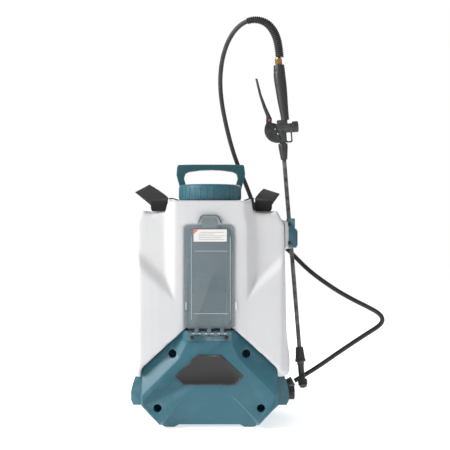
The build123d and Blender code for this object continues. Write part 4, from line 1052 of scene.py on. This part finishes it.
class SPRAYER_OT_door(bpy.types.Operator):
    """Makes the clear door with rounded edges, pale strips that are painted highlights on its raised panel,
    and its white side tabs
    """
    bl_idname = "sprayer.door"
    bl_label = "Door"

    def execute(self, context):
        bevelled("door", "clear_door", "smoke_clear", "door", 0.0009, 2)
        # moulded lines that catch the light on the raised panel
        # pale strips on the raised panel: painted highlights where its edges catch the light
        lines = bmesh.new()
        for x0, x1, z0, z1 in ((-33, 35, 366, 367.2), (-35, 37, 238, 239.2), (-40.3, -39.1, 226, 396),
                               (39.1, 40.3, 226, 396)):
            place = facing(at(0, -106.9, 0), (0, -1, 0))
            prism([(x0, z0), (x1, z0), (x1, z1), (x0, z1)], place, 0.5, lines)
        bmesh.ops.bevel(lines, geom=lines.edges, offset=0.00012, segments=1, affect="EDGES")
        # the strips' pale see-through colour is painted highlight
        rim = see_through("clear door painted highlights", (0.62, 0.68, 0.71), 0.15, 0.55)
        piece_from("door_lines", outward(lines), "smoke_clear", "door", material=rim)
        tabs = bmesh.new()
        for side in (-1, 1):
            place = facing(at(side * 51.2 + 0.5, -101.2, 254), (0, -1, 0))
            prism(rounded(1.6, 8.0, 0.8, 3), place, 1.8, tabs)
        piece_from("door_side_tabs", outward(tabs), "white_plastic", "door")
        return {"FINISHED"}


# ---- harness ------------------------------------------------------------------------------
# Each strap over its shoulder: side, lower outer corner of the flap, run backwards, width inwards.
FLAPS = [(-1, (-127, -14, 462), (-43, 54, 29), (32, 0, 17)),
         (1, (130.4, -14, 465.2), (20, 54, 22.4), (-36, 0, 11.5))]
PAD_TOP = (108, 456)
PAD_SPREAD = math.radians(6)
# A pad's size in millimetres, where it starts below its top, and how far it bows off the back.
PAD_LENGTH, PAD_START = 226, 4
PAD_HALF_WIDTH, PAD_HALF_THICK = 21.5, 4.6
PAD_OFF_BACK, PAD_BOW = 105.2, 8


def smooth_between(stations, steps):
    """Stations filled in with a smooth run between them; each is a pair of edge points."""
    filled = []
    last = len(stations) - 1
    for k in range(last):
        before, a, b, after = (stations[max(k - 1, 0)], stations[k], stations[k + 1],
                               stations[min(k + 2, last)])
        for step in range(steps):
            t = step / steps
            pair = []
            for edge in (0, 1):
                p0, p1, p2, p3 = (Vector(s[edge]) for s in (before, a, b, after))
                pair.append(0.5 * (2 * p1 + (p2 - p0) * t + (2 * p0 - 5 * p1 + 4 * p2 - p3) * t ** 2
                                   + (3 * p1 - p0 - 3 * p2 + p3) * t ** 3))
            filled.append(tuple(pair))
    return filled + [tuple(Vector(p) for p in stations[-1])]


def ribbon(name, stations, thickness, body, columns=6, steps=6):
    """Webbing through its stations, with U across it and V along it in millimetres."""
    rows = smooth_between(stations, steps)
    work = bmesh.new()
    layer = work.loops.layers.uv.new("UVMap")
    grid, run = [], [0.0]
    for k, (left, right) in enumerate(rows):
        grid.append([work.verts.new(left.lerp(right, c / columns)) for c in range(columns + 1)])
        if k:
            run.append(run[-1] + ((left + right) / 2 - (rows[k - 1][0] + rows[k - 1][1]) / 2).length)
    for k in range(len(rows) - 1):
        width = (rows[k][0] - rows[k][1]).length
        for c in range(columns):
            face = work.faces.new((grid[k][c], grid[k][c + 1], grid[k + 1][c + 1], grid[k + 1][c]))
            for loop, (u, v) in zip(face.loops, ((c, k), (c + 1, k), (c + 1, k + 1), (c, k + 1))):
                loop[layer].uv = ((u / columns - 0.5) * width / MM, run[v] / MM)
    mesh = bpy.data.meshes.new(name)
    work.to_mesh(mesh)
    work.free()
    mesh = modified(mesh, ("SOLIDIFY", dict(thickness=thickness * MM, offset=0.0, use_rim=True)),
                    ("BEVEL", dict(width=0.0006, segments=2, limit_method="ANGLE",
                                   angle_limit=math.radians(50))))
    mesh.materials.clear()
    return piece_of_mesh(name, mesh, "webbing", body, 50)


def stitch_rows(name, stations, body, inset, pitch, lift):
    """Thread stitches along both edges of a ribbon, on its upper face."""
    rows = smooth_between(stations, 12)
    spots = []
    for edge in (0, 1):
        line = [pair[edge].lerp(pair[1 - edge], inset / (pair[0] - pair[1]).length * MM) for pair in rows]
        carried = 0.0
        for k in range(len(line) - 1):
            step = line[k + 1] - line[k]
            across = rows[k][1] - rows[k][0]
            up = across.cross(step).normalized()
            while carried < step.length:
                spot = line[k] + step.normalized() * carried
                for side in (1, -1):
                    spots.append((spot + up * lift * MM * side, up * side, step))
                carried += pitch
            carried -= step.length
    thread = prism([(-1.0, -0.22), (1.0, -0.22), (1.15, 0), (1.0, 0.22), (-1.0, 0.22), (-1.15, 0)],
                   Matrix.Identity(4), 0.28)
    return set_out(name, outward(thread), spots, "webbing", body, 30)


def pad_place(side):
    """Where a shoulder pad hangs: its X across the tank's back, its Z up the pad, its Y away."""
    return (Matrix.Translation(at(side * PAD_TOP[0], 0, PAD_TOP[1]))
            @ Matrix.Rotation(side * -PAD_SPREAD, 4, "Y"))


def pad_middle(t):
    """How far off the back the middle of a pad lies, t of the way down it."""
    return PAD_OFF_BACK + PAD_BOW * math.sin(math.pi * min(1.0, t * 1.15))


def pad_cloth():
    """Woven pad cover in a plain weave with a little fuzz and fading."""
    material, tree, shader = new_material("pad cloth")
    spot = put(tree, "ShaderNodeSeparateXYZ", Vector=put(tree, "ShaderNodeTexCoord").outputs["Object"])
    warp = maths(tree, "SINE", maths(tree, "MULTIPLY", spot.outputs[0], 5200.0))
    weft = maths(tree, "SINE", maths(tree, "MULTIPLY", spot.outputs[2], 5200.0))
    weave = maths(tree, "MULTIPLY", warp, weft)
    place = put(tree, "ShaderNodeTexCoord").outputs["Object"]
    fade = put(tree, "ShaderNodeTexNoise", Vector=place, Scale=28.0, Detail=4.0).outputs[0]
    shade_of = maths(tree, "ADD", maths(tree, "MULTIPLY", weave, 0.25), fade)
    tree.links.new(blended(tree, ranged(tree, shade_of, 0.2, 1.0), (0.010, 0.010, 0.011, 1),
                           (0.040, 0.040, 0.043, 1)), shader.inputs["Base Color"])
    tree.links.new(ranged(tree, fade, 0.2, 0.8, 0.7, 0.9), shader.inputs["Roughness"])
    bump = put(tree, "ShaderNodeBump", Strength=0.5, Distance=0.0004, Height=weave)
    tree.links.new(bump.outputs[0], shader.inputs["Normal"])
    settle(shader, Sheen_Weight=0.2, Specular_IOR_Level=0.2)
    return material


def padded_strap(side, cloth):
    """One shoulder pad: a crowned closed form, pinched at its piped seam and quilted across."""
    place = pad_place(side)
    work = bmesh.new()
    rows, round_steps = 44, 28
    rings = []
    for k in range(rows + 1):
        t = k / rows
        drop = -PAD_START - PAD_LENGTH * t
        short_of_end = min(t, 1 - t, 0.05) / 0.05
        narrow = max(math.sqrt(max(0.0, 1 - (1 - short_of_end) ** 2)), 0.25)
        quilt = 1 - 0.16 * math.exp(-((t * 6 % 1 - 0.5) / 0.09) ** 2) * (0.08 < t < 0.92)
        ring = []
        for s in range(round_steps):
            turn = 2 * math.pi * s / round_steps
            c, n = math.cos(turn), math.sin(turn)
            x = PAD_HALF_WIDTH * narrow * math.copysign(abs(c) ** 0.55, c)
            crown = PAD_HALF_THICK * narrow * quilt * math.copysign(abs(n) ** 0.75, n)
            ring.append(work.verts.new(place @ (Vector((x, pad_middle(t) + crown, drop)) * MM)))
        rings.append(ring)
    for low, high in zip(rings, rings[1:]):
        for s in range(round_steps):
            n = (s + 1) % round_steps
            work.faces.new((low[s], low[n], high[n], high[s]))
    work.faces.new(rings[0])
    work.faces.new(rings[-1])
    mesh = bpy.data.meshes.new("shoulder_pad")
    outward(work).to_mesh(mesh)
    work.free()
    mesh = modified(mesh, ("SUBSURF", dict(levels=1, render_levels=1)))
    name = "shoulder_pad_" + ("left" if side < 0 else "right")
    pad = piece_of_mesh(name, mesh, "webbing", "root", 60, cloth)
    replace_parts(pad, "shoulder_straps")
    # piping round the pad's seam
    edge = []
    for k in range(61):
        t = k / 60
        turn = 2 * math.pi * t
        x = 22.0 * math.copysign(abs(math.cos(turn)) ** 0.35, math.cos(turn))
        z = -117 + 113 * math.copysign(abs(math.sin(turn)) ** 0.35, math.sin(turn))
        deep = pad_middle(max(0.0, (-z - PAD_START) / PAD_LENGTH))
        edge.append(place @ (Vector((x, deep, z)) * MM))
    piece_from(name + "_piping", tube(edge, 0.0011, 8), "webbing", "root", 60, cloth)


class SPRAYER_OT_harness(bpy.types.Operator):
    """Makes both shoulder straps: webbing over the tank, quilted pads down its back, and buckles"""
    bl_idname = "sprayer.harness"
    bl_label = "Harness"

    def execute(self, context):
        pitch = context.scene.sprayer_sizes.stitch_pitch
        cloth = pad_cloth()
        for side, start, run, width in FLAPS:
            label = "left" if side < 0 else "right"
            a, r, w = Vector(start), Vector(run), Vector(width)
            end = a + r
            foot = Vector((side * 130, 102, 453))

            def across(outer, inner):
                return (at(*outer), at(*inner))
            lift = Vector((0, 0, 1.5))
            over_shoulder = [
                across((side * 126, -33.2, 449.6), (side * 96, -33.2, 449.6)),
                across((side * 129, -34.0, 455), (side * 93, -34.0, 455)),
                across((side * 129, -33.6, 468), (side * 93, -33.6, 468)),
                across((side * 128.5, -27, 472.5), (side * 93.5, -27, 473.5)),
                across(a + lift, a + w + lift),
                across(a + r * 0.5 + lift * 1.4, a + w + r * 0.5 + lift * 1.8),
                across(end + lift * 0.6, end + w + lift * 0.6),
                across(end.lerp(foot, 0.18) + lift, end.lerp(foot, 0.18) + w + lift),
                across(end.lerp(foot, 0.6) + lift * 1.6, end.lerp(foot, 0.6) + w + lift * 1.6),
                across(foot + Vector((0, 0, 2)), foot + w + Vector((0, 0, 2)))]
            strap = ribbon("strap_webbing_" + label, over_shoulder, 2.4, "root")
            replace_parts(strap, "shoulder_straps")
            stitch_rows("strap_stitches_" + label, over_shoulder, "root", 2.6, pitch, 1.25)
            tail = [across((side * 92, -23.5, 476.5), (side * 92, -4.5, 476.5)),
                    across((side * 84, -23.5, 477.0), (side * 84, -4.5, 477.0)),
                    across((side * 76, -23.5, 474.6), (side * 76, -4.5, 474.6)),
                    across((side * 69.5, -23.5, 472.9), (side * 69.5, -4.5, 472.9))]
            ribbon("strap_tail_" + label, tail, 2.4, "root")
            padded_strap(side, cloth)
            place = pad_place(side)
            lower = [(place @ (Vector((-12.5, y, z)) * MM), place @ (Vector((12.5, y, z)) * MM))
                     for y, z in ((110.5, -222), (109.3, -233), (107.6, -280), (106.6, -320), (105.3, -371))]
            ribbon("strap_lower_" + label, lower, 2.2, "root")
            stitch_rows("strap_lower_stitches_" + label, lower, "root", 2.2, pitch, 1.15)
        bevelled("strap_buckles", "slide_buckles", "black_plastic", "root", 0.0008)
        return {"FINISHED"}


# ---- gun and lance ------------------------------------------------------------------------
class SPRAYER_OT_gun(bpy.types.Operator):
    """Rounds off the gun, its lever, nuts and nozzle, and the clip that holds the lance"""
    bl_idname = "sprayer.gun"
    bl_label = "Spray Gun"

    def execute(self, context):
        for node, name, slot_name, body, width in (
                ("trigger", "squeeze_lever", "black_plastic", "trigger", 0.0010),
                ("gun_body", "valve_housing", "grip_plastic", "wand", 0.0008),
                ("valve_cap", "valve_knob", "grip_plastic", "wand", 0.0007),
                ("gun_collar", "swivel_nut", "grip_plastic", "gun_collar", 0.0005),
                ("lance_nut", "lance_nut_skin", "grip_plastic", "lance_nut", 0.0005),
                ("nozzle_nut", "nozzle_nut_skin", "black_plastic", "nozzle_nut", 0.0005),
                ("nozzle_cap", "nozzle_cap_skin", "black_plastic", "nozzle_cap", 0.0005),
                ("wand_clip", "lance_clip", "teal_plastic", "root", 0.0008),
                ("hose_fitting", "brass_fitting", "brass", "wand", 0.0004),
                ("speed_knob", "pressure_knob", "black_plastic", "speed_knob", 0.0006),
                ("battery_case", "battery_pack", "battery_grey", "battery", 0.0009)):
            bevelled(node, name, slot_name, body, width)
        return {"FINISHED"}


# ---- the rest of the CAD nodes ------------------------------------------------------------
class SPRAYER_OT_finishes(bpy.types.Operator):
    """Gives every part of the frame that still shows the finish of its record slot"""
    bl_idname = "sprayer.finishes"
    bl_label = "Finishes"

    def execute(self, context):
        for entry in frame["record"]["subparts"]:
            node = frame["nodes"][entry["node"]]
            finish = finish_of(entry["material_slot"])
            if not node.data.materials:
                node.data.materials.append(finish)
            for slot in node.material_slots:
                slot.material = finish
        return {"FINISHED"}


# ---- panel and running --------------------------------------------------------------------
OPERATORS = [SPRAYER_OT_stage, SPRAYER_OT_hose, SPRAYER_OT_tank, SPRAYER_OT_base,
             SPRAYER_OT_screws, SPRAYER_OT_cap, SPRAYER_OT_label, SPRAYER_OT_door,
             SPRAYER_OT_harness, SPRAYER_OT_gun]


class SPRAYER_PT_panel(bpy.types.Panel):
    """Lists the sprayer's pieces and their settings"""
    bl_idname = "SPRAYER_PT_panel"
    bl_label = "Backpack Sprayer"
    bl_space_type = "VIEW_3D"
    bl_region_type = "UI"
    bl_category = "Sprayer"

    def draw(self, context):
        column = self.layout.column()
        for group in (context.scene.sprayer_colors, context.scene.sprayer_sizes):
            for name in group.__annotations__:
                column.prop(group, name)
        for operator in OPERATORS:
            column.operator(operator.bl_idname)


CLASSES = [SprayerColors, SprayerSizes, SPRAYER_OT_finishes, *OPERATORS, SPRAYER_PT_panel]


def register():
    for each in CLASSES:
        bpy.utils.register_class(each)
    bpy.types.Scene.sprayer_colors = bpy.props.PointerProperty(type=SprayerColors)
    bpy.types.Scene.sprayer_sizes = bpy.props.PointerProperty(type=SprayerSizes)


def unregister():
    del bpy.types.Scene.sprayer_sizes
    del bpy.types.Scene.sprayer_colors
    for each in reversed(CLASSES):
        bpy.utils.unregister_class(each)


def main():
    register()
    for operator in OPERATORS:
        group, name = operator.bl_idname.split(".")
        getattr(getattr(bpy.ops, group), name)()
    bpy.ops.sprayer.finishes()


if __name__ == "__main__":
    main()
